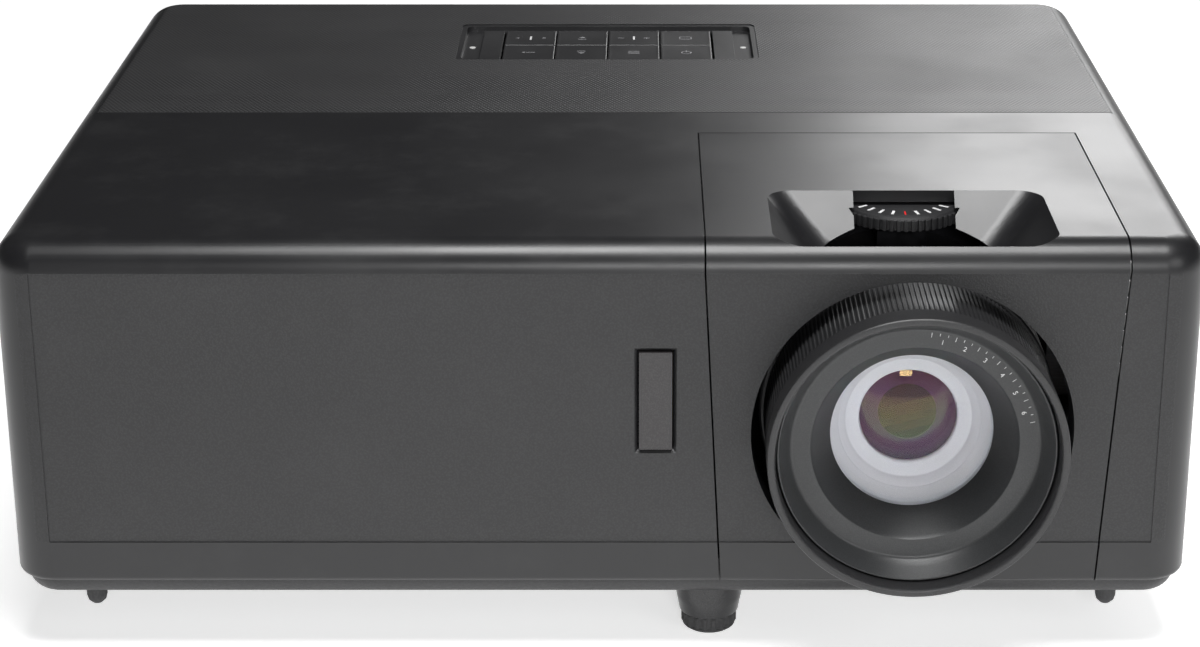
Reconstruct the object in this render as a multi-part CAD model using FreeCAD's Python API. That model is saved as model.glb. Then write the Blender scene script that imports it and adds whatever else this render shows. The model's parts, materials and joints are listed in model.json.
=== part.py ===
"""A laser home projector, built as an assembly: one STEP file for each named piece, in millimetres.

+X is to the right as seen from the front, +Y runs from the lens to the rear panel, +Z is up.
The origin is at the centre of the footprint, on the table under the foot pads.
"""

import FreeCAD
import Part
import math
import os

Vector = FreeCAD.Vector

# ---- Driving sizes -------------------------------------------------------------------------------
body_width = 374.0
body_depth = 302.0
body_height = 120.0
foot_height = 18.0
wall = 2.5
corner_radius = 14.0
top_radius = 10.0
skirt_height = 6.7  # of bottom case that shows below the upper shell
case_inset = 2.8  # of the bottom case inside the upper shell's outside
case_bottom_radius = 6.5
running_gap = 0.05
slide_gap = 0.3
seam_gap = 0.55

# Lens and its cover
lens_x = 97.4
lens_drop = 62.2  # of the lens axis below the top face
lens_reach = 20.3  # of the focus ring in front of the front face
focus_bore = 43.5
opening_radius = 50.3
focus_radius = 46.2
cover_half_top = 65.15
cover_half_bottom = 59.6
cover_depth = 116.5

# Front face
crease_drop = 9.0
groove_drop = 99.4
field_half = 174.0
field_sink = 0.4
window_x = 17.4
window_drop = 51.1
window_width = 10.4
window_height = 32.6
window_bevel = 1.1

# Dial and the hollow that it stands in
hollow_half = 44.2
hollow_front = 4.4
hollow_back = 53.5
hollow_sink = 14.0
hollow_corner = 8.0
hollow_clear_radius = 55.0
hollow_clear_back = 57.0
visor_height = 3.9  # of the lip over the dial's slot
slot_half = 16.3
slot_front = 22.0
dial_radius = 21.0
dial_thick = 5.0
dial_drop = 5.0
dial_depth = 61.6
dial_turn = 55.0  # degrees each way
shift_travel = 1.5  # of the lens, each way

# Keypad
tray_half = 57.5
tray_front = 210.0
tray_back = 262.0
tray_sink = 2.4
tray_corner = 3.0
key_pitch_x = 20.1
key_pitch_y = 20.9
side_key_width = 8.2
key_gap = 0.4
key_proud = 1.2  # of the key tops over the tray's floor
key_travel = 0.8
light_x = 52.3

# Feet
foot_top_radius = 10.7
foot_low_radius = 9.6
foot_collar_z = 6.0
foot_knob_radius = 9.0
foot_pad_height = 1.6
stud_radius = 4.0
foot_travel = 12.0
front_foot_x = 35.0
front_foot_depth = 20.0
rear_foot_x = 150.0
rear_foot_depth = 272.0
bumper_x = 163.0
bumper_depth = 13.0
bumper_radius = 3.3
bumper_drop = 7.0

# Ceiling mount
mount_spacing_x = 220.0
mount_spacing_y = 170.0
mount_depth = 150.0
insert_hole_radius = 2.05
insert_radius = 3.6
insert_length = 10.0

# Vents and fans
vent_front = 84.0
vent_back = 262.0
vent_low = 40.0
vent_high = 116.0
slat_pitch = 7.0
slat_thick = 1.6
fan_size = 70.0
fan_thick = 22.0
fan_z = 78.0
fan_hub_radius = 13.0
fan_blades = 9
fan_axle_radius = 1.5
left_fan_depth = 150.0
right_fan_depth = 195.0

# Rear ports: centre x of each, left to right as seen from the front
board_width = 236.0
board_front = 222.0
board_drop = 97.0  # of the main board's top face below the top face
board_thick = 1.6
hdmi_xs = (-96.0, -72.0)
dsub_xs = (-38.0, 4.0)
lan_x = 42.0
audio_xs = (66.0, 80.0)
audio_radius = 1.8
inlet_x = 145.0
inlet_rise = 26.0
rear_plate_half = 168.0
rear_plate_height = 66.0
rear_plate_thick = 2.0

# ---- Places that follow from them ----------------------------------------------------------------
half_width = body_width / 2
front_y = -(body_depth + lens_reach) / 2 + lens_reach
back_y = front_y + body_depth
floor_z = foot_height
top_z = foot_height + body_height
skirt_z = foot_height + skirt_height
lens_z = top_z - lens_drop
inner_floor_z = floor_z + wall
inner_top_z = top_z - wall
board_z = top_z - board_drop


def depth(distance):
    """The y of a place that far behind the front face."""
    return front_y + distance


# ---- Shapes --------------------------------------------------------------------------------------
def box(x0, x1, y0, y1, z0, z1):
    return Part.makeBox(x1 - x0, y1 - y0, z1 - z0, Vector(x0, y0, z0))


def rod(axis, centre, start, end, radius):
    """A cylinder along axis X, Y or Z. centre holds the two other coordinates, in X, Y, Z order."""
    a, b = centre
    place = {"X": Vector(start, a, b), "Y": Vector(a, start, b), "Z": Vector(a, b, start)}[axis]
    way = {"X": Vector(1, 0, 0), "Y": Vector(0, 1, 0), "Z": Vector(0, 0, 1)}[axis]
    return Part.makeCylinder(radius, end - start, place, way)


def tube(axis, centre, start, end, outer, inner):
    return rod(axis, centre, start, end, outer).cut(rod(axis, centre, start - 1, end + 1, inner))


def joined(shapes):
    """One solid from shapes that touch or overlap."""
    return shapes[0].fuse(list(shapes[1:])).removeSplitter() if len(shapes) > 1 else shapes[0]


def without(shape, tools):
    return shape.cut(list(tools)) if tools else shape


def upright_edges(shape):
    found = []
    for edge in shape.Edges:
        low, high = edge.BoundBox.ZMin, edge.BoundBox.ZMax
        flat = edge.BoundBox.XLength < 1e-6 and edge.BoundBox.YLength < 1e-6
        if flat and high - low > 1e-3:
            found.append(edge)
    return found


def edges_at_height(shape, z):
    return [e for e in shape.Edges if abs(e.BoundBox.ZMin - z) < 1e-6 and abs(e.BoundBox.ZMax - z) < 1e-6]


def rounded_box(x0, x1, y0, y1, z0, z1, corner, top=0.0, bottom=0.0):
    """A box with rounded upright corners, and rounded edges round its top and bottom faces."""
    shape = box(x0, x1, y0, y1, z0, z1)
    shape = shape.makeFillet(corner, upright_edges(shape))
    if top:
        shape = shape.makeFillet(top, edges_at_height(shape, z1))
    if bottom:
        shape = shape.makeFillet(bottom, edges_at_height(shape, z0))
    return shape


def turned(outline, centre_x, centre_z):
    """A solid of revolution about an axis along Y. outline holds (radius, distance behind the front)."""
    points = [Vector(centre_x + r, depth(d), centre_z) for r, d in outline]
    face = Part.Face(Part.makePolygon(points + points[:1]))
    return face.revolve(Vector(centre_x, 0, centre_z), Vector(0, 1, 0), 360)


def turned_up(outline, centre_x, centre_y):
    """A solid of revolution about an upright axis. outline holds (radius, height)."""
    points = [Vector(centre_x + r, centre_y, z) for r, z in outline]
    face = Part.Face(Part.makePolygon(points + points[:1]))
    return face.revolve(Vector(centre_x, centre_y, 0), Vector(0, 0, 1), 360)


def prism(points, axis, start, end):
    """An outline pushed along axis Y or Z. The points are (x, z) for Y and (x, y) for Z."""
    if axis == "Y":
        corners = [Vector(a, start, b) for a, b in points]
        way = Vector(0, end - start, 0)
    else:
        corners = [Vector(a, b, start) for a, b in points]
        way = Vector(0, 0, end - start)
    return Part.Face(Part.makePolygon(corners + corners[:1])).extrude(way)


def turned_copies(shape, count, centre, axis):
    """count copies of shape, evenly spaced about an axis through centre."""
    copies = []
    for n in range(count):
        copy = shape.copy()
        copy.rotate(centre, axis, 360.0 * n / count)
        copies.append(copy)
    return copies


def save(name, *solids):
    """Writes one node. Several solids in it stay separate."""
    single = []
    for shape in solids:
        single += shape.Solids
    for solid in single:
        if not solid.isValid() or solid.Volume < 0.01:
            raise ValueError(name + " holds a bad solid")
    whole = single[0] if len(single) == 1 else Part.makeCompound(single)
    whole.exportStep(os.path.join("parts", name + ".step"))
    print(name, len(single), "solids", round(sum(s.Volume for s in single) / 1000.0, 2), "cm3")


# ---- The upper shell -----------------------------------------------------------------------------
post_places = (
    (-half_width + 13.5, 16.0),
    (half_width - 13.5, 16.0),
    (-half_width + 13.5, body_depth - 17.0),
    (half_width - 13.5, body_depth - 17.0),
    (-20.0, 24.0),
)
post_radius = 4.0
post_foot_z = inner_floor_z + 18.0
pilot_radius = 1.35
pilot_length = 14.0


def upper_shell():
    """The whole upper shell, before the lens cover is parted from it."""
    outer = rounded_box(
        -half_width, half_width, front_y, back_y, skirt_z, top_z, corner_radius, top_radius, wall * 0.8
    )
    inner = rounded_box(
        -half_width + wall,
        half_width - wall,
        front_y + wall,
        back_y - wall,
        skirt_z - 1,
        inner_top_z,
        corner_radius - wall,
        top_radius - wall,
    )
    field = box(
        -field_half, field_half, front_y - 1, front_y + field_sink, top_z - groove_drop, top_z - crease_drop
    )
    return outer.cut([inner, field])


def cover_region(gap):
    """The space of the lens cover. A positive gap widens it, and a negative one narrows it."""
    outline = (
        (lens_x - cover_half_bottom - gap, skirt_z - 2),
        (lens_x + cover_half_bottom + gap, skirt_z - 2),
        (lens_x + cover_half_top + gap, top_z - crease_drop),
        (lens_x + cover_half_top + gap, top_z + 1),
        (lens_x - cover_half_top - gap, top_z + 1),
        (lens_x - cover_half_top - gap, top_z - crease_drop),
    )
    return prism(outline, "Y", front_y - 1, depth(cover_depth) + gap)


def window_hole():
    """The infra-red window's hole, with its bevel, in the front wall."""
    half_w = window_width / 2 + 0.25
    half_h = window_height / 2 + 0.25
    z = top_z - window_drop
    hole = box(
        window_x - half_w, window_x + half_w, front_y - 1, front_y + wall + 1, z - half_h, z + half_h
    )
    face = front_y + field_sink
    near = [
        Vector(window_x - half_w - window_bevel, face, z - half_h - window_bevel),
        Vector(window_x + half_w + window_bevel, face, z - half_h - window_bevel),
        Vector(window_x + half_w + window_bevel, face, z + half_h + window_bevel),
        Vector(window_x - half_w - window_bevel, face, z + half_h + window_bevel),
    ]
    far = [
        Vector(window_x - half_w, face + window_bevel, z - half_h),
        Vector(window_x + half_w, face + window_bevel, z - half_h),
        Vector(window_x + half_w, face + window_bevel, z + half_h),
        Vector(window_x - half_w, face + window_bevel, z + half_h),
    ]
    bevel = Part.makeLoft(
        [Part.makePolygon(near + near[:1]), Part.makePolygon(far + far[:1])], True, True
    )
    return joined([hole, bevel])


def tray_outline(inset, z0, z1):
    return rounded_box(
        -tray_half + inset,
        tray_half - inset,
        depth(tray_front) + inset,
        depth(tray_back) - inset,
        z0,
        z1,
        tray_corner,
    )


def vent_hole(side):
    inner = side * (half_width - wall - 1)
    outer = side * (half_width + 1)
    return box(min(inner, outer), max(inner, outer), depth(vent_front), depth(vent_back), vent_low, vent_high)


def rear_hole():
    return box(
        -rear_plate_half,
        rear_plate_half,
        back_y - wall - 1,
        back_y + 1,
        board_z - 8.0,
        board_z - 8.0 + rear_plate_height,
    )


def posts():
    """Posts that hang from the top to take the case screws."""
    return [
        rod("Z", (x, depth(d)), post_foot_z, inner_top_z + 0.5, post_radius) for x, d in post_places
    ]


def pilots():
    return [
        rod("Z", (x, depth(d)), post_foot_z - 1, post_foot_z + pilot_length, pilot_radius)
        for x, d in post_places
    ]


def make_top_cover(shell):
    groove = box(-half_width - 1, half_width + 1, depth(140.3), depth(140.9), top_z - 0.35, top_z + 1)
    cuts = [
        cover_region(0.0),
        window_hole(),
        tray_outline(0.0, inner_top_z - 2, top_z + 1),
        vent_hole(-1),
        vent_hole(1),
        rear_hole(),
        groove,
    ]
    ledge = ledge_strips()
    whole = joined([without(shell, cuts), *posts(), *ledge])
    return without(whole, pilots())


def ledge_strips():
    """Thin ledges under the seam, which the lens cover's edges rest on."""
    overlap = 4.0
    thick = 1.6
    z1 = inner_top_z
    z0 = z1 - thick
    y1 = depth(cover_depth)
    left = lens_x - cover_half_top
    right = lens_x + cover_half_top
    y0 = depth(top_radius + 6)
    return [
        box(left - 3, left + overlap, y0, y1 + 3, z0, z1),
        box(right - overlap, right + 3, y0, y1 + 3, z0, z1),
        box(left, right, y1 - overlap, y1 + 3, z0, z1),
    ]


# ---- The lens cover ------------------------------------------------------------------------------
def rounded_outline(x0, x1, y0, y1, z, corner):
    """The outline of a level rectangle with rounded corners."""
    slab = rounded_box(x0, x1, y0, y1, z, z + 1, corner)
    lowest = min(slab.Faces, key=lambda face: face.BoundBox.ZMax)
    return lowest.OuterWire


def hollow_space(extra):
    """The funnel above the lens, grown by extra on its sides and floor, and the space over its mouth."""
    y0 = depth(hollow_front) - extra
    half = hollow_half + extra
    y1 = depth(hollow_back) + extra
    low_half = half - hollow_sink
    low_y1 = y1 - hollow_sink
    low_z = top_z - hollow_sink
    corner = hollow_corner + extra
    mouth = rounded_outline(lens_x - half, lens_x + half, y0, y1, top_z, corner)
    bottom = rounded_outline(lens_x - low_half, lens_x + low_half, y0, low_y1, low_z, corner)
    funnel = Part.makeLoft([bottom, mouth], True, True)
    above = Part.Face(mouth).extrude(Vector(0, 0, 2.0))
    return funnel, above


def make_lens_cover(shell):
    skin = shell.common(cover_region(-seam_gap))
    funnel_outer, _ = hollow_space(wall * 0.8)
    sleeve = tube(
        "Y", (lens_x, lens_z), front_y + 1.0, depth(12.0), opening_radius + 2.0, opening_radius
    )
    boss_outer = rod("Z", (lens_x, depth(dial_depth)), top_z - dial_drop + 0.4, inner_top_z + 0.5, 6.0)
    keep_in = shell_inside()
    visor = box(
        lens_x - slot_half - 1,
        lens_x + slot_half + 1,
        depth(hollow_back),
        depth(hollow_back) + 2.0,
        top_z - visor_height,
        inner_top_z + 0.5,
    )
    body = joined([skin, funnel_outer.common(keep_in), sleeve, boss_outer, visor])
    funnel, above = hollow_space(0.0)
    spindle_bore = rod(
        "Z", (lens_x, depth(dial_depth)), top_z - dial_drop - 1, inner_top_z, dial_spindle + running_gap
    )
    lens_hole = rod("Y", (lens_x, lens_z), front_y - 1, depth(12.5), opening_radius)
    lens_clear = rod(
        "Y", (lens_x, lens_z), depth(wall + 1.5), depth(hollow_clear_back), hollow_clear_radius
    ).cut(tube("Y", (lens_x, lens_z), front_y, depth(12.0), opening_radius + 2.0, opening_radius))
    lens_clear = lens_clear.cut(box(lens_x - 100, lens_x + 100, front_y, back_y, floor_z, lens_z))
    dial_slot = box(
        lens_x - slot_half,
        lens_x + slot_half,
        depth(slot_front),
        depth(hollow_back),
        top_z - hollow_sink - 6,
        top_z + 1,
    )
    dial_space = rod(
        "Z",
        (lens_x, depth(dial_depth)),
        top_z - hollow_sink - 6,
        top_z - dial_drop + 0.6,
        dial_radius + 0.8,
    ).cut(rod("Z", (lens_x, depth(dial_depth)), top_z - dial_drop + 0.4, top_z, 6.0))
    cuts = [funnel, above, lens_hole, lens_clear, dial_slot, dial_space, spindle_bore]
    return without(body, cuts)


def shell_inside():
    """What is inside the shell's outer surface, so that walls added inside never show outside."""
    inset = wall * 0.5
    return rounded_box(
        -half_width + inset,
        half_width - inset,
        front_y + inset,
        back_y - inset,
        floor_z,
        top_z - inset,
        corner_radius - inset,
        top_radius - inset,
    )


# ---- Dial ----------------------------------------------------------------------------------------
dial_spindle = 3.0
dial_screw_radius = 4.0
dial_screw_length = 6.5
dial_ribs = 48
dial_seat_thick = 1.5


def make_shift_dial():
    """The lens shift dial: a ribbed disc, its upper spindle and the screw stub under it."""
    x, y = lens_x, depth(dial_depth)
    top = top_z - dial_drop
    low = top - dial_thick
    outline = (
        (0.0, low - dial_screw_length),
        (dial_screw_radius, low - dial_screw_length),
        (dial_screw_radius, low),
        (dial_radius - 0.6, low),
        (dial_radius, low + 0.6),
        (dial_radius, top - 1.0),
        (dial_radius - 1.0, top),
        (dial_spindle, top),
        (dial_spindle, inner_top_z - 0.3),
        (0.0, inner_top_z - 0.3),
    )
    disc = turned_up(outline, x, y)
    notch = rod("Z", (x + dial_radius + 0.25, y), low - 1, top - 1.2, 0.75)
    return disc.cut(turned_copies(notch, dial_ribs, Vector(x, y, 0), Vector(0, 0, 1)))


# ---- Lens ----------------------------------------------------------------------------------------
barrel_wall = 2.65
barrel_radius = focus_bore - running_gap
barrel_bore = barrel_radius - barrel_wall
zoom_seat_radius = focus_bore + 0.4
zoom_radius = zoom_seat_radius + 3.1
zoom_front = 19.0
zoom_back = 38.0
barrel_front = 7.0
barrel_back = 74.0
cell_radius = barrel_bore - slide_gap
front_glass_radius = cell_radius - 12.7  # inside the flared, marked ring
inner_glass_radius = front_glass_radius * 0.525
zoom_glass_radius = cell_radius - 18.5
rear_glass_radius = barrel_bore - 14.8
focus_travel = 2.0
focus_turn = 45.0
zoom_travel = 4.0
zoom_turn = 20.0
pin_radius = 2.0
focus_pin_reach = focus_bore + 1.1
zoom_pin_reach = zoom_seat_radius + 1.6
track_gap = 0.6  # round the pin at each step of a slanting track
track_steps = 12
focus_pin_depth = 10.0
zoom_pin_depth = 30.0
focus_ribs = 120
zoom_ribs = 90
carriage_thick = 10.0
carriage_half = 50.0
carriage_low = inner_floor_z + 9.5
carriage_high = top_z - 17.0
rod_x = 44.0
rod_radius = 3.0


def down_pin(d, r0, r1, radius):
    """A pin that points down from the lens axis, between two radii."""
    return rod("Z", (lens_x, depth(d)), lens_z - r1, lens_z - r0, radius)


def cam_track(d, travel, turn, r0, r1, radius):
    """The space that a pin needs in a ring that turns by turn degrees while the pin moves by travel."""
    places = []
    for n in range(-track_steps, track_steps + 1):
        share = n / float(track_steps)
        pin = down_pin(d + share * travel, r0, r1, radius)
        pin.rotate(Vector(lens_x, 0, lens_z), Vector(0, 1, 0), -share * turn)
        places.append(pin)
    return places


def straight_slot(d, travel, r0, r1, radius):
    """The space that a pin needs when it only slides along the lens axis."""
    ends = [down_pin(d + side * travel, r0, r1, radius) for side in (-1, 1)]
    middle = box(
        lens_x - radius, lens_x + radius, depth(d - travel), depth(d + travel), lens_z - r1, lens_z - r0
    )
    return joined([*ends, middle])


def make_focus_ring():
    rib_front = -11.0
    rib_back = 17.4
    end = 18.6
    outline = (
        (focus_bore, -18.8),
        (focus_bore + 0.6, -lens_reach + 0.4),
        (focus_bore + 0.9, -lens_reach),
        (focus_radius - 0.4, -lens_reach),
        (focus_radius, -lens_reach + 0.5),
        (focus_radius, rib_front - 1.0),
        (focus_radius - 0.6, rib_front),
        (focus_radius - 0.6, rib_back),
        (focus_radius - 1.2, end),
        (focus_bore, end),
    )
    ring = turned(outline, lens_x, lens_z)
    notch = rod("Y", (lens_x + focus_radius, lens_z), depth(rib_front + 0.5), depth(rib_back), 0.85)
    notches = turned_copies(notch, focus_ribs, Vector(lens_x, 0, lens_z), Vector(0, 1, 0))
    track_end = focus_pin_reach + slide_gap
    track = cam_track(
        focus_pin_depth, focus_travel, -focus_turn, focus_bore - 1, track_end, pin_radius + track_gap
    )
    return ring.cut(notches + track)


def make_front_cell():
    """The front lens group's holder: the flared front, the marked ring and two tubes behind it."""
    lip = focus_bore - 0.4
    glass = front_glass_radius
    outline = (
        (lip - 0.5, -15.0),
        (lip, -14.5),
        (lip, -3.0),
        (cell_radius, -3.0),
        (cell_radius, 20.0),
        (cell_radius - 2.0, 20.0),
        (cell_radius - 2.0, 0.5),
        (glass + 2.2, 0.5),
        (glass + 2.2, 20.0),
        (glass + 0.2, 20.0),
        (glass + 0.2, 3.2),
        (glass - 2.2, 3.2),
        (glass + 3.4, -6.4),
        (glass + 4.4, -8.0),
        (cell_radius - 2.2, -8.0),
        (cell_radius - 1.9, -8.4),
    )
    cell = turned(outline, lens_x, lens_z)
    pin = down_pin(focus_pin_depth, cell_radius - 1.0, focus_pin_reach, pin_radius)
    return joined([cell, pin])


def lens_element(radius, front, thick, bulge, hollow):
    """A glass disc. bulge and hollow are the depths of its curved front and back."""

    def place(r, d):
        return Vector(lens_x + r, depth(d), lens_z)

    def curve(apex, rim):
        """An arc through the axis at apex, kept on one side of it."""
        start, end = place(0, apex), place(radius, rim)
        drop = rim - apex
        ball = (radius**2 + drop**2) / (2 * drop)
        half_angle = math.asin(radius / abs(ball)) / 2
        middle = place(abs(ball) * math.sin(half_angle), apex + ball * (1 - math.cos(half_angle)))
        return Part.Arc(start, middle, end).toShape()

    back = front + thick
    edges = [curve(front - bulge, front), Part.makeLine(place(radius, front), place(radius, back))]
    if hollow:
        edges.append(curve(back - hollow, back))
    else:
        edges.append(Part.makeLine(place(radius, back), place(0, back)))
    edges.append(Part.makeLine(place(0, back - hollow), place(0, front - bulge)))
    wire = Part.Wire(Part.__sortEdges__(edges))
    return Part.Face(wire).revolve(Vector(lens_x, 0, lens_z), Vector(0, 1, 0), 360)


def make_front_glass():
    outer = lens_element(front_glass_radius, 4.0, 3.0, 4.2, 2.0)
    inner = lens_element(inner_glass_radius, 16.4, 4.0, 3.6, 0.0)
    return outer, inner


def make_front_baffle():
    """The bright stepped cone between the two front elements."""
    rim = front_glass_radius - 0.1
    seat = inner_glass_radius + 0.2
    stop = inner_glass_radius * 0.55  # the light path's narrowest place
    cone = rim - 2.3 - seat
    outline = (
        (rim, 7.2),
        (rim, 22.0),
        (stop, 22.0),
        (stop, 20.6),
        (seat, 20.6),
        (seat, 15.8),
        (seat + cone * 0.43, 14.3),
        (seat + cone * 0.47, 13.4),
        (seat + cone * 0.67, 11.0),
        (seat + cone * 0.72, 10.4),
        (seat + cone, 7.2),
    )
    return turned(outline, lens_x, lens_z)


def lens_tube(start, end, outer, inner):
    return tube("Y", (lens_x, lens_z), depth(start), depth(end), outer, inner)


def make_lens_barrel():
    """The fixed tube that both rings turn on, with straight slots for the pins of the two cells."""
    flange = lens_tube(zoom_back + 0.3, zoom_back + 3.0, zoom_radius - 1.5, barrel_bore)
    seat = lens_tube(barrel_front + 11.9, zoom_back + 0.3, zoom_seat_radius, barrel_bore)
    front = lens_tube(barrel_front, barrel_front + 11.9, barrel_radius, barrel_bore)
    rear = lens_tube(zoom_back + 3.0, barrel_back, barrel_bore + 1.8, barrel_bore)
    lip = lens_tube(barrel_back - 12.0, barrel_back - 9.0, barrel_bore + 0.5, rear_glass_radius)
    slots = []
    for place, travel in ((focus_pin_depth, focus_travel), (zoom_pin_depth, zoom_travel)):
        slots.append(straight_slot(place, travel + 0.2, cell_radius - 2, zoom_radius, pin_radius + slide_gap))
    return without(joined([front, seat, flange, rear, lip]), slots)


def make_zoom_ring():
    bore = zoom_seat_radius + running_gap
    ring = lens_tube(zoom_front, zoom_back, zoom_radius, bore)
    notch = rod(
        "Y", (lens_x + zoom_radius + 0.5, lens_z), depth(zoom_front + 2.5), depth(zoom_back - 2.5), 1.1
    )
    notches = turned_copies(notch, zoom_ribs, Vector(lens_x, 0, lens_z), Vector(0, 1, 0))
    track = cam_track(
        zoom_pin_depth, zoom_travel, zoom_turn, bore - 1, zoom_pin_reach + slide_gap, pin_radius + track_gap
    )
    return ring.cut(notches + track)


def make_zoom_cell():
    sleeve = lens_tube(zoom_pin_depth - 3.0, zoom_pin_depth + 17.0, cell_radius, cell_radius - 2.5)
    web = lens_tube(zoom_pin_depth + 4.0, zoom_pin_depth + 6.0, cell_radius - 1.0, zoom_glass_radius - 2.0)
    rim = lens_tube(zoom_pin_depth + 6.0, zoom_pin_depth + 12.0, zoom_glass_radius + 2.0, zoom_glass_radius)
    pin = down_pin(zoom_pin_depth, cell_radius - 1.0, zoom_pin_reach, pin_radius)
    return joined([sleeve, web, rim, pin])


def make_zoom_glass():
    return lens_element(zoom_glass_radius - running_gap, zoom_pin_depth + 10.0, 2.0, 3.4, 0.0)


def make_rear_glass():
    return lens_element(rear_glass_radius - running_gap, barrel_back - 10.0, 2.0, 2.6, 0.0)


def make_shift_carriage():
    """The plate that carries the whole lens up and down, and the nut arm under the dial."""
    y0 = depth(barrel_back)
    y1 = y0 + carriage_thick
    plate = box(lens_x - carriage_half, lens_x + carriage_half, y0, y1, carriage_low, carriage_high)
    nut_top = dial_low_z() - dial_seat_thick - 0.3 - shift_travel - 0.5
    arm = box(lens_x - 8, lens_x + 8, depth(dial_depth) - 8, y1, nut_top - 5.5, nut_top)
    holes = [
        rod("Y", (lens_x, lens_z), y0 - 1, y1 + 1, 28.0),
        rod("Z", (lens_x, depth(dial_depth)), 0, top_z, dial_screw_radius + running_gap),
    ]
    for side in (-1, 1):
        holes.append(
            rod("Z", (lens_x + side * rod_x, y0 + carriage_thick / 2), 0, top_z, rod_radius + running_gap)
        )
    return without(joined([plate, arm]), holes)


def dial_low_z():
    return top_z - dial_drop - dial_thick


def make_dial_seat():
    """The bracket under the dial, hung on two posts from the lens cover."""
    y = depth(dial_depth)
    z1 = dial_low_z()
    hanger_radius = 3.0
    hanger_x = dial_radius + 2.5 + hanger_radius
    half = hanger_x + hanger_radius + 0.5
    plate = box(lens_x - half, lens_x + half, y - 7, y + 7, z1 - dial_seat_thick, z1 - running_gap)
    hangers = [
        rod("Z", (lens_x + side * hanger_x, y), z1 - dial_seat_thick, inner_top_z, hanger_radius)
        for side in (-1, 1)
    ]
    hole = rod("Z", (lens_x, y), 0, top_z, dial_screw_radius + running_gap)
    return without(joined([plate, *hangers]), [hole])


rod_low = inner_floor_z + 1.5
rod_high = top_z - dial_drop - dial_thick - 0.5  # just under the dial
upper_lug = 4.0
lower_lug = 7.5
mount_front = barrel_back + carriage_thick + 0.5
mount_thick = 5.5


def make_guide_rods():
    y = depth(barrel_back) + carriage_thick / 2
    return [rod("Z", (lens_x + side * rod_x, y), rod_low, rod_high, rod_radius) for side in (-1, 1)]


def make_lens_mount():
    """The fixed plate behind the lens, with lugs that hold the guide rods."""
    y0 = depth(mount_front)
    y1 = y0 + mount_thick
    plate = box(lens_x - 54, lens_x + 54, y0, y1, inner_floor_z, rod_high)
    lugs = []
    for side in (-1, 1):
        x = lens_x + side * rod_x
        for z0, z1 in ((inner_floor_z, inner_floor_z + lower_lug), (rod_high - upper_lug, rod_high)):
            lugs.append(box(x - 6, x + 6, depth(barrel_back) - 1, y0 + 1, z0, z1))
    beam = rod("Y", (lens_x, lens_z), y0 - 1, y1 + 1, 26.0)
    return without(joined([plate, *lugs]), [beam, *make_guide_rods()])


# ---- Bottom case and what stands on the table ----------------------------------------------------
foot_places = {
    "front": (front_foot_x, front_foot_depth),
    "left": (-rear_foot_x, rear_foot_depth),
    "right": (rear_foot_x, rear_foot_depth),
}
socket_radius = 7.5
socket_height = 30.0
screw_head_radius = 3.0
screw_shaft_radius = pilot_radius - running_gap
boss_radius = 4.0
insert_boss_radius = 6.5


def mount_points():
    points = []
    for sx in (-1, 1):
        for sy in (-1, 1):
            points.append((sx * mount_spacing_x / 2, mount_depth + sy * mount_spacing_y / 2))
    return points


def make_bottom_case():
    rim_z = skirt_z + 7.0
    outer = rounded_box(
        -half_width + case_inset,
        half_width - case_inset,
        front_y + case_inset,
        back_y - case_inset,
        floor_z,
        rim_z,
        corner_radius - case_inset,
        0.0,
        case_bottom_radius,
    )
    hollow = rounded_box(
        -half_width + case_inset + wall,
        half_width - case_inset - wall,
        front_y + case_inset + wall,
        back_y - case_inset - wall,
        inner_floor_z,
        rim_z + 1,
        corner_radius - case_inset - wall,
        0.0,
        case_bottom_radius - wall,
    )
    bosses = []
    cuts = []
    for x, d in post_places:
        bosses.append(rod("Z", (x, depth(d)), floor_z + 2.2, post_foot_z, boss_radius))
        cuts.append(rod("Z", (x, depth(d)), floor_z - 1, post_foot_z + 1, screw_shaft_radius + 0.3))
        cuts.append(rod("Z", (x, depth(d)), floor_z - 1, floor_z + 3.2, screw_head_radius + 0.3))
    for x, d in mount_points():
        bosses.append(rod("Z", (x, depth(d)), floor_z, floor_z + insert_length + 1.5, insert_boss_radius))
        cuts.append(rod("Z", (x, depth(d)), floor_z - 1, floor_z + insert_length, insert_radius))
    for x, d in foot_places.values():
        bosses.append(rod("Z", (x, depth(d)), floor_z, socket_height - 2.0, socket_radius + 2.0))
        cuts.append(rod("Z", (x, depth(d)), floor_z - 1, socket_height + 1, socket_radius))
    for side in (-1, 1):
        cuts.append(rod("Z", (side * bumper_x, depth(bumper_depth)), floor_z - 1, floor_z + 5, 1.5))
    cuts.append(rod("Y", (lens_x, lens_z), front_y, depth(14.0), opening_radius + 2.4))
    return without(joined([outer.cut(hollow), *bosses]), cuts)


def make_case_screws():
    screws = []
    for x, d in post_places:
        top = post_foot_z + pilot_length - 2.0
        head = rod("Z", (x, depth(d)), floor_z + 1.2, floor_z + 3.2, screw_head_radius)
        socket = rod("Z", (x, depth(d)), floor_z, floor_z + 2.4, 1.2)
        shaft = rod("Z", (x, depth(d)), floor_z + 3.0, top, screw_shaft_radius)
        screws.append(joined([head, shaft]).cut(socket))
    return screws


def make_mount_inserts():
    return [
        tube("Z", (x, depth(d)), floor_z, floor_z + insert_length, insert_radius, insert_hole_radius)
        for x, d in mount_points()
    ]


def make_bumpers():
    bumpers = []
    for side in (-1, 1):
        z = floor_z - bumper_drop + bumper_radius
        outline = (
            (0.0, floor_z + 4.0),
            (1.5, floor_z + 4.0),
            (1.5, floor_z),
            (bumper_radius, floor_z),
            (bumper_radius, z),
            (bumper_radius * 0.87, z - bumper_radius * 0.5),
            (bumper_radius * 0.5, z - bumper_radius * 0.87),
            (0.0, z - bumper_radius),
        )
        bumpers.append(turned_up(outline, side * bumper_x, depth(bumper_depth)))
    return bumpers


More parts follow.
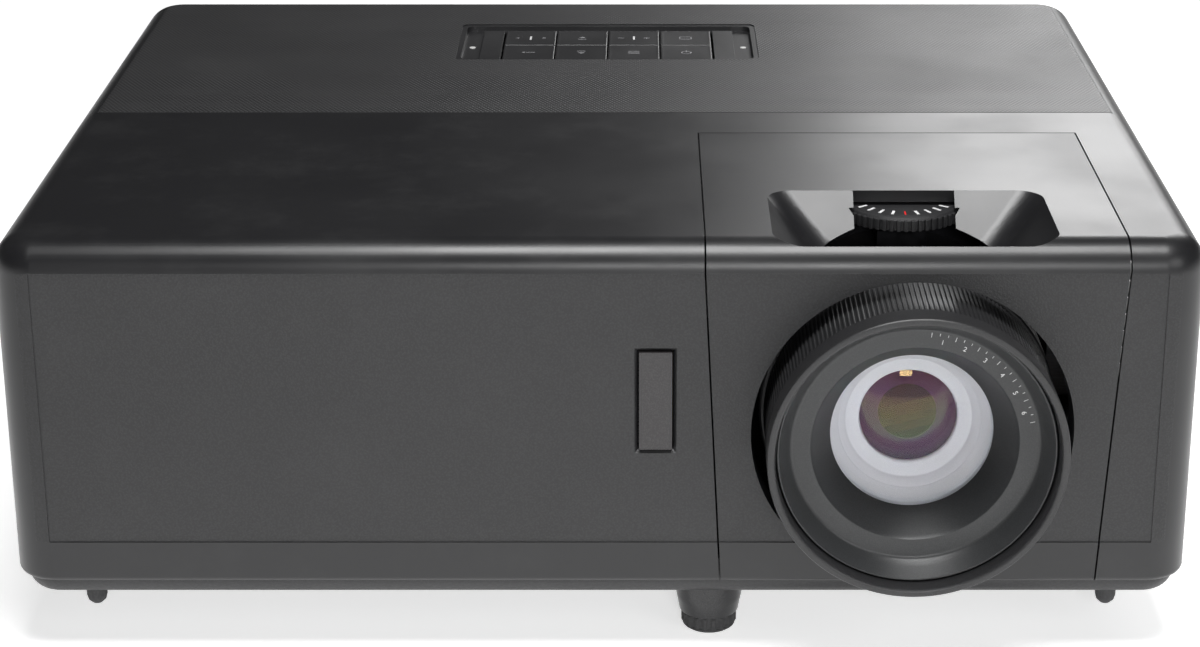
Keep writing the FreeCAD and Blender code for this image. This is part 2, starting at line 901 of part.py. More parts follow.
def make_foot_collars():
    """The fixed collar of each foot, with its threaded socket inside the case."""
    collars = []
    for x, d in foot_places.values():
        bore = stud_radius + running_gap
        outline = (
            (bore, foot_collar_z),
            (foot_low_radius, foot_collar_z),
            (foot_top_radius, floor_z - 6.0),
            (foot_top_radius, floor_z),
            (socket_radius, floor_z),
            (socket_radius, socket_height),
            (bore, socket_height),
        )
        collars.append(turned_up(outline, x, depth(d)))
    return collars


def make_foot_knob(name):
    x, d = foot_places[name]
    top = foot_collar_z - slide_gap
    pivot = 2.0 + running_gap
    outline = (
        (pivot, foot_pad_height + running_gap),
        (foot_knob_radius - 0.3, foot_pad_height + running_gap),
        (foot_knob_radius, foot_pad_height + 0.5),
        (foot_knob_radius, top - 0.4),
        (foot_knob_radius - 0.4, top),
        (stud_radius, top),
        (stud_radius, socket_height + 3.0),
        (0.0, socket_height + 3.0),
        (0.0, foot_pad_height + 3.2),
        (pivot, foot_pad_height + 3.2),
    )
    knob = turned_up(outline, x, depth(d))
    notch = rod(
        "Z", (x + foot_knob_radius + 0.5, depth(d)), foot_pad_height - 1, top + 0.5 * slide_gap, 1.1
    )
    return knob.cut(turned_copies(notch, 20, Vector(x, depth(d), 0), Vector(0, 0, 1)))


def make_foot_pad(name):
    x, d = foot_places[name]
    outline = (
        (0.0, 0.0),
        (foot_knob_radius - 1.6, 0.0),
        (foot_knob_radius - 0.5, 0.8),
        (foot_knob_radius - 0.4, foot_pad_height),
        (2.0, foot_pad_height),
        (2.0, foot_pad_height + 3.0),
        (0.0, foot_pad_height + 3.0),
    )
    return turned_up(outline, x, depth(d))


# ---- Window and grilles --------------------------------------------------------------------------
def make_ir_window():
    z = top_z - window_drop
    pane = rounded_box(
        window_x - window_width / 2,
        window_x + window_width / 2,
        front_y - 0.2,
        front_y + wall,
        z - window_height / 2,
        z + window_height / 2,
        0.8,
    )
    flange = box(
        window_x - window_width / 2 - 2.5,
        window_x + window_width / 2 + 2.5,
        front_y + wall,
        front_y + wall + 1.5,
        z - window_height / 2 - 2.5,
        z + window_height / 2 + 2.5,
    )
    return joined([pane, flange])


def make_grille(side):
    """A side panel of level slats, in three bays."""
    inner = side * (half_width - wall)
    outer = side * half_width
    x0, x1 = min(inner, outer), max(inner, outer)
    panel = box(x0, x1, depth(vent_front), depth(vent_back), vent_low, vent_high)
    bays = 3
    bay = (vent_back - vent_front - 3.0) / bays
    gaps = []
    count = int((vent_high - vent_low - slat_thick) / slat_pitch)
    first = (vent_low + vent_high - count * slat_pitch + slat_thick) / 2
    for n in range(count):
        z = first + n * slat_pitch
        for b in range(bays):
            y0 = depth(vent_front + 3.0 + b * bay)
            gaps.append(box(x0 - 1, x1 + 1, y0, y0 + bay - 3.0, z, z + slat_pitch - slat_thick))
    return panel.cut(gaps)


# ---- Keypad --------------------------------------------------------------------------------------
key_names = ("key_front_1", "key_front_2", "key_front_3", "key_front_4")
key_names += ("key_rear_1", "key_rear_2", "key_rear_3", "key_rear_4")
rockers = ("key_rear_1", "key_rear_3")
cap_thick = 2.4
stem_half = 3.0
stem_margin = 0.85
rocker_stem_x = (key_pitch_x - key_gap) / 2 - stem_margin - stem_half
tray_floor_z = top_z - tray_sink + key_proud - cap_thick - 1.2
key_top_z = top_z - tray_sink + key_proud


def key_centre(name):
    n = key_names.index(name)
    column = n % 4
    row = n // 4
    x = (column - 1.5) * key_pitch_x
    y = depth((tray_front + tray_back) / 2) + (row - 0.5) * key_pitch_y - 0.8
    return x, y


def stem_places(name):
    x, y = key_centre(name)
    if name in rockers:
        return [(x - rocker_stem_x, y), (x + rocker_stem_x, y)]
    return [(x, y)]


def make_keypad_tray():
    """The sunken frame round the keys, with the floor that guides their stems."""
    z1 = top_z - tray_sink
    z0 = tray_floor_z - 1.2
    rim = tray_outline(0.0, z0, top_z - 0.4)
    dish = tray_outline(2.0, z1, top_z + 1)
    wide = 2 * key_pitch_x + key_gap / 2
    y = key_centre("key_front_1")[1] + key_pitch_y / 2
    reach = key_pitch_y + key_gap / 2
    well = box(-wide, wide, y - reach, y + reach, tray_floor_z, z1 + 1)
    strips = []
    for side in (-1, 1):
        x0 = side * (wide + 0.4)
        x1 = side * (wide + side_key_width)
        strips.append(
            box(min(x0, x1), max(x0, x1), y - key_pitch_y, y + key_pitch_y, z1 - 0.5, key_top_z)
        )
    ridges = []
    for name in rockers:
        kx, ky = key_centre(name)
        ridges.append(rod("Y", (kx, tray_floor_z), ky - 7, ky + 7, 1.15))
    holes = []
    for name in key_names:
        gap = 0.5 if name in rockers else 0.2
        for sx, sy in stem_places(name):
            half = stem_half + gap
            holes.append(box(sx - half, sx + half, sy - half, sy + half, z0 - 1, tray_floor_z + 1))
    for side in (-1, 1):
        holes.append(rod("Z", (side * light_x, y), z0 - 1, top_z, 1.2))
    skirt_cut = tray_outline(3.0, z0 - 1, tray_floor_z - 1.2)
    body = rim.cut([dish, well, skirt_cut])
    return without(joined([body, *strips, *ridges]), holes)


def make_key(name):
    x, y = key_centre(name)
    half_x = (key_pitch_x - key_gap) / 2
    half_y = (key_pitch_y - key_gap) / 2
    cap = rounded_box(
        x - half_x, x + half_x, y - half_y, y + half_y, key_top_z - cap_thick, key_top_z, 0.8, 0.5
    )
    pieces = [cap]
    for sx, sy in stem_places(name):
        foot = key_top_z - cap_thick - 5.0
        pieces.append(
            box(sx - stem_half, sx + stem_half, sy - stem_half, sy + stem_half, foot, key_top_z - 1.0)
        )
    return joined(pieces)


def make_keypad_board():
    """The keypad's circuit board, with a dome switch under each stem."""
    z1 = key_top_z - cap_thick - 5.0 - 1.3
    board = box(
        -tray_half + 1, tray_half - 1, depth(tray_front) + 1, depth(tray_back) - 1, z1 - 1.6, z1
    )
    switches = []
    for name in key_names:
        for sx, sy in stem_places(name):
            switches.append(rod("Z", (sx, sy), z1 - 0.1, z1 + 0.4, 2.5))
    hangers = []
    for sx in (-1, 1):
        for sy in (tray_front + 3.0, tray_back - 3.0):
            hangers.append(rod("Z", (sx * (tray_half - 3.5), depth(sy)), z1 - 0.1, tray_floor_z - 1.2, 2.0))
    return joined([board, *switches, *hangers])


def make_light_pipes():
    z0 = key_top_z - cap_thick - 5.0 - 1.3
    y = key_centre("key_front_1")[1] + key_pitch_y / 2
    return [rod("Z", (side * light_x, y), z0, top_z - tray_sink + 0.2, 1.15) for side in (-1, 1)]


# ---- Light engine --------------------------------------------------------------------------------
engine_left = 62.0
engine_right = 132.0
engine_back = 152.0
engine_front = mount_front + mount_thick
engine_low = lens_z - 31.8
engine_high = lens_z + 36.2
beam_depth = 122.0
beam_z = lens_z + 2.0
wheel_x = 24.0
wheel_radius = 26.0
laser_right = -10.0
laser_left = -60.0
laser_front = 96.0
laser_back = 146.0


def leg(x, d, top):
    return rod("Z", (x, depth(d)), inner_floor_z, top, 4.0)


def make_engine_housing():
    outer = box(engine_left, engine_right, depth(engine_front), depth(engine_back), engine_low, engine_high)
    inner = box(
        engine_left + 3,
        engine_right - 3,
        depth(engine_front) + 3,
        depth(engine_back) - 3,
        engine_low + 3,
        engine_high - 3,
    )
    beam = rod("Y", (lens_x, lens_z), depth(engine_front) - 1, depth(engine_front) + 4, 24.0)
    port = box(
        engine_left - 1, engine_left + 4, depth(beam_depth) - 6, depth(beam_depth) + 6, beam_z - 5, beam_z + 5
    )
    window = box(
        engine_right - 4,
        engine_right + 1,
        depth(beam_depth) - 9,
        depth(beam_depth) + 9,
        beam_z - 6,
        beam_z + 6,
    )
    legs = [
        leg(x, d, engine_low + 1)
        for x in (engine_left + 6, engine_right - 6)
        for d in (engine_front + 7, engine_back - 7)
    ]
    return joined([outer.cut([inner, beam, port, window]), *legs])


def make_light_tunnel():
    outer = box(
        wheel_x + 4, engine_left, depth(beam_depth) - 8, depth(beam_depth) + 8, beam_z - 7, beam_z + 7
    )
    inner = box(
        wheel_x + 3, engine_left + 1, depth(beam_depth) - 5, depth(beam_depth) + 5, beam_z - 4, beam_z + 4
    )
    return joined([outer.cut(inner), leg(wheel_x + 20, beam_depth, beam_z - 6)])


wheel_z = beam_z - wheel_radius + 5.0
wheel_axle_radius = 1.5


def make_phosphor_wheel():
    disc = tube("X", (depth(beam_depth), wheel_z), wheel_x, wheel_x + 1.5, wheel_radius, 2.0)
    hub = tube(
        "X",
        (depth(beam_depth), wheel_z),
        wheel_x - 5.0,
        wheel_x + 2.5,
        8.0,
        wheel_axle_radius + running_gap,
    )
    return joined([disc.cut(rod("X", (depth(beam_depth), wheel_z), wheel_x - 1, wheel_x + 3, 7.0)), hub])


def make_wheel_motor():
    can = rod("X", (depth(beam_depth), wheel_z), wheel_x - 18.0, wheel_x - 6.0, 11.0)
    axle = rod("X", (depth(beam_depth), wheel_z), wheel_x - 7.0, wheel_x + 3.0, wheel_axle_radius)
    stand = box(
        wheel_x - 17,
        wheel_x - 11,
        depth(beam_depth) - 9,
        depth(beam_depth) + 9,
        inner_floor_z,
        wheel_z - 4,
    )
    return joined([can, axle, stand])


def make_laser_module():
    block = box(laser_left, laser_right, depth(laser_front), depth(laser_back), 36.0, 100.0)
    nose = rod("X", (depth(beam_depth), beam_z), laser_right - 1, wheel_x - 20.0, 9.0)
    legs = [leg(x, d, 37.0) for x in (laser_left + 8, laser_right - 8) for d in (102.0, 140.0)]
    return joined([block, nose, *legs])


def fins(x0, x1, y0, y1, z0, z1, base, pitch, thick):
    """A finned heat sink whose base plate is on its right and whose fins stand across Y."""
    parts = [box(x1 - base, x1, y0, y1, z0, z1)]
    count = int((y1 - y0 - thick) / pitch) + 1
    for n in range(count):
        parts.append(box(x0, x1 - base + 0.5, y0 + n * pitch, y0 + n * pitch + thick, z0, z1))
    return joined(parts)


def make_laser_heatsink():
    return fins(-112.0, laser_left, depth(92.0), depth(150.0), 34.0, 106.0, 5.0, 4.0, 1.2)


def make_dmd_board():
    board = box(engine_right + 3, engine_right + 4.6, depth(96.0), depth(148.0), 42.0, 112.0)
    chip = box(
        engine_right,
        engine_right + 3.1,
        depth(beam_depth) - 12,
        depth(beam_depth) + 12,
        beam_z - 9,
        beam_z + 9,
    )
    return joined([board, chip])


def make_dmd_heatsink():
    sink = fins(-166.0, -(engine_right + 4.6), depth(100.0), depth(144.0), 46.0, 108.0, 4.0, 4.0, 1.2)
    sink.rotate(Vector(0, depth(122.0), 0), Vector(0, 0, 1), 180)
    return sink


# ---- Fans ----------------------------------------------------------------------------------------
fan_bore = fan_size / 2 - 2.0
fan_places = {"left": (-1, left_fan_depth), "right": (1, right_fan_depth)}


def fan_span(name):
    side = fan_places[name][0]
    outer = side * (half_width - wall - 2.0)
    inner = side * (half_width - wall - 2.0 - fan_thick)
    return min(outer, inner), max(outer, inner)


def make_fan_frames():
    frames = []
    for name, (side, d) in fan_places.items():
        x0, x1 = fan_span(name)
        y = depth(d)
        body = box(x0, x1, y - fan_size / 2, y + fan_size / 2, fan_z - fan_size / 2, fan_z + fan_size / 2)
        body = body.cut(rod("X", (y, fan_z), x0 - 1, x1 + 1, fan_bore))
        low, high = (x0, x0 + 2.5) if side > 0 else (x1 - 2.5, x1)
        struts = []
        for n in range(3):
            strut = box(low, high, y - 1.5, y + 1.5, fan_z, fan_z + fan_bore + 1)
            strut.rotate(Vector(0, y, fan_z), Vector(1, 0, 0), 120.0 * n + 20)
            struts.append(strut)
        plate = rod("X", (y, fan_z), low, high, fan_hub_radius)
        axle_end = x1 - 3 if side > 0 else x0 + 3
        axle = rod("X", (y, fan_z), min(low, axle_end), max(high, axle_end), fan_axle_radius)
        foot = box(x0 + 6, x1 - 6, y - 30, y + 30, inner_floor_z, fan_z - fan_size / 2 + 1)
        frames.append(joined([body, *struts, plate, axle, foot]))
    return frames


def make_fan_rotor(name):
    side, d = fan_places[name]
    x0, x1 = fan_span(name)
    start, end = (x0 + 3.5, x1 - 2.0) if side > 0 else (x0 + 2.0, x1 - 3.5)
    y = depth(d)
    hub = rod("X", (y, fan_z), start, end, fan_hub_radius)
    blades = []
    for n in range(fan_blades):
        root_z = fan_z + fan_hub_radius - 1
        tip_z = fan_z + fan_bore - 1.2
        blade = box(start + 1.5, end - 1.5, y - 0.8, y + 0.8, root_z, tip_z)
        blade.rotate(Vector((start + end) / 2, y, fan_z), Vector(0, 0, 1), 34.0)
        blade.rotate(Vector(0, y, fan_z), Vector(1, 0, 0), 360.0 * n / fan_blades)
        blades.append(blade)
    bore = rod("X", (y, fan_z), x0 - 1, x1 + 1, fan_axle_radius + running_gap)
    return joined([hub, *blades]).cut(bore)


# ---- Boards and rear sockets ---------------------------------------------------------------------
def make_main_board():
    """The main circuit board on its standoffs, with its larger chips and capacitors."""
    half = board_width / 2
    z1 = board_z
    parts = [box(-half, half, depth(board_front), depth(296.0), z1 - board_thick, z1)]
    for x in (-half + 6, 0.0, half - 6):
        for d in (board_front + 30, 289.0):
            parts.append(rod("Z", (x, depth(d)), inner_floor_z, z1 - board_thick + 0.2, 3.0))
    for x, d, size, tall in ((-70, 245, 22, 3), (-20, 242, 34, 12), (40, 245, 16, 3), (84, 240, 14, 3)):
        parts.append(box(x - size / 2, x + size / 2, depth(d) - 10, depth(d) + 10, z1 - 0.2, z1 + tall))
    for x in (62.0, 72.0, 100.0):
        parts.append(rod("Z", (x, depth(262.0)), z1 - 0.2, z1 + 14, 4.0))
    return joined(parts)


def make_power_board():
    z1 = 36.0
    parts = [box(-160.0, 10.0, depth(34.0), depth(84.0), z1 - 2, z1)]
    for x in (-154.0, 4.0):
        for d in (40.0, 78.0):
            parts.append(rod("Z", (x, depth(d)), inner_floor_z, z1 - 1.8, 3.0))
    parts.append(box(-80.0, -44.0, depth(42.0), depth(76.0), z1 - 0.2, z1 + 28))
    for x in (-140.0, -116.0):
        parts.append(rod("Z", (x, depth(59.0)), z1 - 0.2, z1 + 34, 10.0))
    parts.append(box(-28.0, -22.0, depth(38.0), depth(80.0), z1 - 0.2, z1 + 22))
    return joined(parts)


socket_front = 284.0
panel_front = body_depth - rear_plate_thick
hdmi_size = (15.2, 6.2)
dsub_size = (31.0, 12.6)
lan_size = (16.0, 13.6)
audio_size = (11.0, 11.0)
inlet_size = (27.2, 20.0)


def socket_box(x, size, start, end, grow=0.0, lift=0.0):
    w, h = size
    z = board_z + lift
    return box(x - w / 2 - grow, x + w / 2 + grow, depth(start), depth(end), z - grow, z + h + grow)


def inlet_lift():
    return inlet_rise - inlet_size[1] / 2


def make_rear_panel():
    z0 = board_z - 8.0
    plate = box(
        -rear_plate_half, rear_plate_half, depth(panel_front), back_y, z0, z0 + rear_plate_height
    )
    cuts = [socket_box(x, hdmi_size, 200, 310, 0.3) for x in hdmi_xs]
    cuts += [socket_box(x, dsub_size, 200, 310, 0.3) for x in dsub_xs]
    cuts += [socket_box(lan_x, lan_size, 200, 310, 0.3)]
    cuts += [socket_box(x, audio_size, 200, 310, 0.3) for x in audio_xs]
    cuts += [socket_box(inlet_x, inlet_size, 200, 310, 0.0, inlet_lift())]
    return plate.cut(cuts)


def make_hdmi_sockets():
    sockets = []
    for x in hdmi_xs:
        shell = socket_box(x, hdmi_size, socket_front, body_depth - 0.3)
        mouth = box(x - 7.0, x + 7.0, depth(socket_front + 2), back_y + 1, board_z + 0.8, board_z + 5.4)
        tongue = box(
            x - 5.5, x + 5.5, depth(socket_front + 1), depth(body_depth - 3), board_z + 2.4, board_z + 3.8
        )
        sockets.append(joined([shell.cut(mouth), tongue]))
    return sockets


def make_dsub_sockets():
    sockets = []
    for x in dsub_xs:
        block = socket_box(x, dsub_size, socket_front, body_depth - 1.0)
        z = board_z + dsub_size[1] / 2
        shell = prism(((x - 8.3, z + 4.0), (x + 8.3, z + 4.0), (x + 7.0, z - 4.0), (x - 7.0, z - 4.0)),
                      "Y", depth(body_depth - 2), depth(body_depth) + 0.0)
        studs = [rod("Y", (x + s * 12.5, z), depth(body_depth - 2), back_y, 2.4) for s in (-1, 1)]
        pins = []
        for row, count in ((2.0, 5), (-0.6, 5), (-2.8, 5)):
            for n in range(count):
                px = x + (n - (count - 1) / 2.0) * 2.3
                pins.append(rod("Y", (px, z + row), depth(body_depth - 4), back_y + 1, 0.5))
        sockets.append(joined([block, shell, *studs]).cut(pins))
    return sockets


def make_network_socket():
    shell = socket_box(lan_x, lan_size, socket_front - 2, body_depth - 0.3)
    y0 = depth(socket_front + 1)
    mouth = box(lan_x - 6.0, lan_x + 6.0, y0, back_y + 1, board_z + 3.4, board_z + 11.4)
    latch = box(lan_x - 3.2, lan_x + 3.2, y0, back_y + 1, board_z + 1.4, board_z + 4.0)
    return shell.cut([mouth, latch])


def make_audio_sockets():
    sockets = []
    for x in audio_xs:
        z = board_z + audio_size[1] / 2
        body = socket_box(x, audio_size, socket_front, body_depth - 1.0)
        collar = rod("Y", (x, z), depth(body_depth - 2), back_y, 3.6)
        hole = rod("Y", (x, z), depth(socket_front + 1), back_y + 1, audio_radius)
        sockets.append(joined([body, collar]).cut(hole))
    return sockets


def make_power_inlet():
    """The mains inlet: a socket body behind the panel, with three flat pins."""
    w, h = inlet_size
    z0 = board_z + inlet_lift()
    body = box(inlet_x - w / 2, inlet_x + w / 2, depth(278.0), back_y, z0, z0 + h)
    flange = box(inlet_x - w / 2 - 2, inlet_x + w / 2 + 2, depth(panel_front - 2), depth(panel_front), z0 - 2,
                 z0 + h + 2)
    z = z0 + h / 2
    points = (
        (inlet_x - 12.0, z - 8.0),
        (inlet_x + 12.0, z - 8.0),
        (inlet_x + 12.0, z + 4.0),
        (inlet_x + 8.0, z + 8.0),
        (inlet_x - 8.0, z + 8.0),
        (inlet_x - 12.0, z + 4.0),
    )
    mouth = prism(points, "Y", depth(284.0), back_y + 1)
    pins = [
        box(inlet_x + px - 1, inlet_x + px + 1, depth(283.0), depth(297.0), z + pz - 2, z + pz + 2)
        for px, pz in ((-7.0, -1.0), (0.0, 3.0), (7.0, -1.0))
    ]
    return joined([joined([body, flange]).cut(mouth), *pins])


# ---- Writing the files ---------------------------------------------------------------------------
os.makedirs("parts", exist_ok=True)

shell = upper_shell()
save("top_cover", make_top_cover(shell))
save("lens_cover", make_lens_cover(shell))
save("bottom_case", make_bottom_case())
save("rear_panel", make_rear_panel())
save("left_grille", make_grille(-1))
save("right_grille", make_grille(1))
save("ir_window", make_ir_window())
save("case_screws", *make_case_screws())
save("mount_inserts", *make_mount_inserts())
save("bumpers", *make_bumpers())
save("foot_collars", *make_foot_collars())
for place in foot_places:
    save("foot_knob_" + place, make_foot_knob(place))
    save("foot_pad_" + place, make_foot_pad(place))

save("shift_dial", make_shift_dial())
save("dial_seat", make_dial_seat())
save("shift_carriage", make_shift_carriage())
save("guide_rods", *make_guide_rods())
save("lens_mount", make_lens_mount())
save("lens_barrel", make_lens_barrel())
save("focus_ring", make_focus_ring())
save("front_cell", make_front_cell())
save("front_glass", *make_front_glass())
save("front_baffle", make_front_baffle())
save("zoom_ring", make_zoom_ring())
save("zoom_cell", make_zoom_cell())
save("zoom_glass", make_zoom_glass())
save("rear_glass", make_rear_glass())

save("keypad_tray", make_keypad_tray())
save("keypad_board", make_keypad_board())
save("light_pipes", *make_light_pipes())
for key in key_names:
    save(key, make_key(key))

save("engine_housing", make_engine_housing())
save("light_tunnel", make_light_tunnel())
save("phosphor_wheel", make_phosphor_wheel())
save("wheel_motor", make_wheel_motor())
save("laser_module", make_laser_module())
save("laser_heatsink", make_laser_heatsink())
save("dmd_board", make_dmd_board())
save("dmd_heatsink", make_dmd_heatsink())
save("fan_frames", *make_fan_frames())
save("fan_rotor_left", make_fan_rotor("left"))
save("fan_rotor_right", make_fan_rotor("right"))

save("main_board", make_main_board())
save("power_board", make_power_board())
save("hdmi_sockets", *make_hdmi_sockets())
save("dsub_sockets", *make_dsub_sockets())
save("network_socket", make_network_socket())
save("audio_sockets", *make_audio_sockets())
save("power_inlet", make_power_inlet())
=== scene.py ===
import bpy
import bmesh
import json
import math
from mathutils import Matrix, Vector


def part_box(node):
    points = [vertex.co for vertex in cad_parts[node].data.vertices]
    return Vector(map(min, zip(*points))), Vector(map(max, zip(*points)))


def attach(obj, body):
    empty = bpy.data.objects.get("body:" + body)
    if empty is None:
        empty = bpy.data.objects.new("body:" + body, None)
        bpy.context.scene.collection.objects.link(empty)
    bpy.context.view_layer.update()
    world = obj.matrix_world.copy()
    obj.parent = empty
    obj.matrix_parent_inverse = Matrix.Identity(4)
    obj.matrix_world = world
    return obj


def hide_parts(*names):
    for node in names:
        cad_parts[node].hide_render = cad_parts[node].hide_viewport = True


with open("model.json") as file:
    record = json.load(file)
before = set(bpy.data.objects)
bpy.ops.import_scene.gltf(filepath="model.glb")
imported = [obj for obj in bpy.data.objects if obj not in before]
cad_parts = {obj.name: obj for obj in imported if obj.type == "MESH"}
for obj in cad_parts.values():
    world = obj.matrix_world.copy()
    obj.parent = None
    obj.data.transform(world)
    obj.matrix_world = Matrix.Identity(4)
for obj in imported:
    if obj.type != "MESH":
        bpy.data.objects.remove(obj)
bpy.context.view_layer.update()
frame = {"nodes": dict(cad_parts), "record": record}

nodes = frame["nodes"]

# Places that the pieces are set out from
caseLow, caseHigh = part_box("top_cover")
coverLow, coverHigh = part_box("lens_cover")
ringLow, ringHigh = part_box("focus_ring")
dialLow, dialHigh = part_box("shift_dial")
frontY = caseLow.y
backY = caseHigh.y
topZ = caseHigh.z
lensX = (ringLow.x + ringHigh.x) / 2
lensZ = (ringLow.z + ringHigh.z) / 2
lensCentre = Vector((lensX, frontY, lensZ))
mm = 0.001


# ---- small helpers
def deselectAll():
    if bpy.context.object and bpy.context.object.mode != "OBJECT":
        bpy.ops.object.mode_set(mode="OBJECT")
    bpy.ops.object.select_all(action="DESELECT")


def pick(piece):
    deselectAll()
    piece.hide_set(False)
    piece.select_set(True)
    bpy.context.view_layer.objects.active = piece


def editMode(piece, kind="VERT"):
    pick(piece)
    bpy.ops.object.mode_set(mode="EDIT")
    bpy.ops.mesh.select_mode(type=kind)
    bpy.ops.mesh.select_all(action="DESELECT")


def objectMode():
    bpy.ops.object.mode_set(mode="OBJECT")


def chooseFaces(piece, test):
    # selects the faces whose centre and normal pass the test, while in edit mode
    mesh = bmesh.from_edit_mesh(piece.data)
    for face in mesh.faces:
        face.select_set(bool(test(face.calc_center_median(), face.normal)))
    mesh.select_flush_mode()
    bmesh.update_edit_mesh(piece.data)


def useModifier(piece, name, kind, **settings):
    pick(piece)
    modifier = piece.modifiers.new(name, kind)
    for key, value in settings.items():
        setattr(modifier, key, value)
    bpy.ops.object.modifier_apply(modifier=name)


def finishPiece(piece, name, body, paints, standsFor=(), smooth=32):
    # puts the place into the mesh, paints the piece and hangs it on its body
    piece.name = name
    piece.data.name = name
    pick(piece)
    bpy.ops.object.transform_apply(location=True, rotation=True, scale=True)
    bpy.ops.object.shade_smooth_by_angle(angle=math.radians(smooth))
    useModifier(piece, "flat faces stay flat", "WEIGHTED_NORMAL", mode="FACE_AREA", weight=100, keep_sharp=True)
    piece.data.materials.clear()
    for paint in paints:
        piece.data.materials.append(paint)
    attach(piece, body)
    if standsFor:
        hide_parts(*standsFor)
    return piece


def startBox(low, high):
    deselectAll()
    middle = (Vector(low) + Vector(high)) / 2
    bpy.ops.mesh.primitive_cube_add(size=1, location=middle)
    piece = bpy.context.object
    piece.scale = Vector(high) - Vector(low)
    bpy.ops.object.transform_apply(location=True, rotation=True, scale=True)
    return piece


def startPoint(place):
    deselectAll()
    bpy.ops.mesh.primitive_plane_add(size=0.01, location=place)
    piece = bpy.context.object
    bpy.ops.object.transform_apply(location=True, rotation=True, scale=True)
    bpy.ops.object.mode_set(mode="EDIT")
    bpy.ops.mesh.select_all(action="SELECT")
    bpy.ops.mesh.merge(type="CENTER")
    return piece


def spinProfile(profile, centre, axis, steps=96, closed=True):
    # profile is (radius, distance along the axis); it is drawn by extruding a point, then spun
    axis = Vector(axis)
    side = Vector((1, 0, 0))
    points = [centre + side * r + axis * d for r, d in profile]
    piece = startPoint(points[0])
    for before, after in zip(points, points[1:]):
        bpy.ops.mesh.extrude_region_move(TRANSFORM_OT_translate={"value": after - before})
    bpy.ops.mesh.select_all(action="SELECT")
    if closed:
        bpy.ops.mesh.edge_face_add()
        bpy.ops.mesh.delete(type="ONLY_FACE")
        bpy.ops.mesh.select_all(action="SELECT")
    bpy.ops.mesh.spin(steps=steps, angle=math.tau, center=centre, axis=axis)
    bpy.ops.mesh.select_all(action="SELECT")
    bpy.ops.mesh.remove_doubles(threshold=0.00001)
    bpy.ops.mesh.normals_make_consistent(inside=False)
    objectMode()
    return piece


def copiesAround(piece, count, centre, axis):
    # the piece, repeated round an axis as one mesh
    editMode(piece)
    bpy.ops.mesh.select_all(action="SELECT")
    bpy.ops.mesh.spin(
        steps=count, angle=math.tau, center=centre, axis=axis, dupli=True, use_auto_merge=False
    )
    bpy.ops.mesh.select_all(action="SELECT")
    bpy.ops.mesh.remove_doubles(threshold=0.000001)
    objectMode()


def joinPieces(pieces):
    pick(pieces[0])
    for piece in pieces[1:]:
        piece.select_set(True)
    if len(pieces) > 1:
        bpy.ops.object.join()
    return pieces[0]


def copyNode(name):
    # a merged copy of a CAD node, with its flat faces made whole again
    pick(nodes[name])
    bpy.ops.object.duplicate()
    piece = bpy.context.object
    piece.parent = None
    for key in list(piece.keys()):
        del piece[key]
    bpy.ops.object.mode_set(mode="EDIT")
    bpy.ops.mesh.select_all(action="SELECT")
    bpy.ops.mesh.remove_doubles(threshold=0.000002)
    bpy.ops.mesh.dissolve_limited(angle_limit=math.radians(0.6))
    objectMode()
    return piece


def softenEdges(piece, width, angle=35, segments=2):
    useModifier(
        piece,
        "soft edges",
        "BEVEL",
        width=width,
        segments=segments,
        limit_method="ANGLE",
        angle_limit=math.radians(angle),
        use_clamp_overlap=True,
        miter_outer="MITER_ARC",
    )


# ---- node groups that several finishes share
def newGroup(name, inputs, outputs):
    group = bpy.data.node_groups.new(name, "ShaderNodeTree")
    for label, kind, value in inputs:
        socket = group.interface.new_socket(name=label, in_out="INPUT", socket_type=kind)
        if value is not None:
            socket.default_value = value
    for label, kind in outputs:
        group.interface.new_socket(name=label, in_out="OUTPUT", socket_type=kind)
    start = group.nodes.new("NodeGroupInput")
    end = group.nodes.new("NodeGroupOutput")
    return group, start, end


def addNode(tree, kind, **settings):
    node = tree.nodes.new(kind)
    for key, value in settings.items():
        setattr(node, key, value)
    return node


def math2(tree, operation, first, second=None, third=None, clamp=False):
    node = addNode(tree, "ShaderNodeMath", operation=operation, use_clamp=clamp)
    for place, value in enumerate((first, second, third)):
        if value is None:
            continue
        if isinstance(value, (int, float)):
            node.inputs[place].default_value = value
        else:
            tree.links.new(value, node.inputs[place])
    return node.outputs[0]


def spread(tree, value, low, high, outLow=0.0, outHigh=1.0, smooth=True):
    node = addNode(tree, "ShaderNodeMapRange", interpolation_type="SMOOTHSTEP" if smooth else "LINEAR")
    tree.links.new(value, node.inputs["Value"])
    for label, number in (
        ("From Min", low), ("From Max", high), ("To Min", outLow), ("To Max", outHigh)
    ):
        node.inputs[label].default_value = number
    return node.outputs["Result"]


def mixColour(tree, share, first, second):
    node = addNode(tree, "ShaderNodeMix", data_type="RGBA")
    for socket, value in ((node.inputs[0], share), (node.inputs[6], first), (node.inputs[7], second)):
        if isinstance(value, (int, float)):
            socket.default_value = value
        elif isinstance(value, (tuple, list)):
            socket.default_value = (*value, 1.0)
        else:
            tree.links.new(value, socket)
    return node.outputs[2]


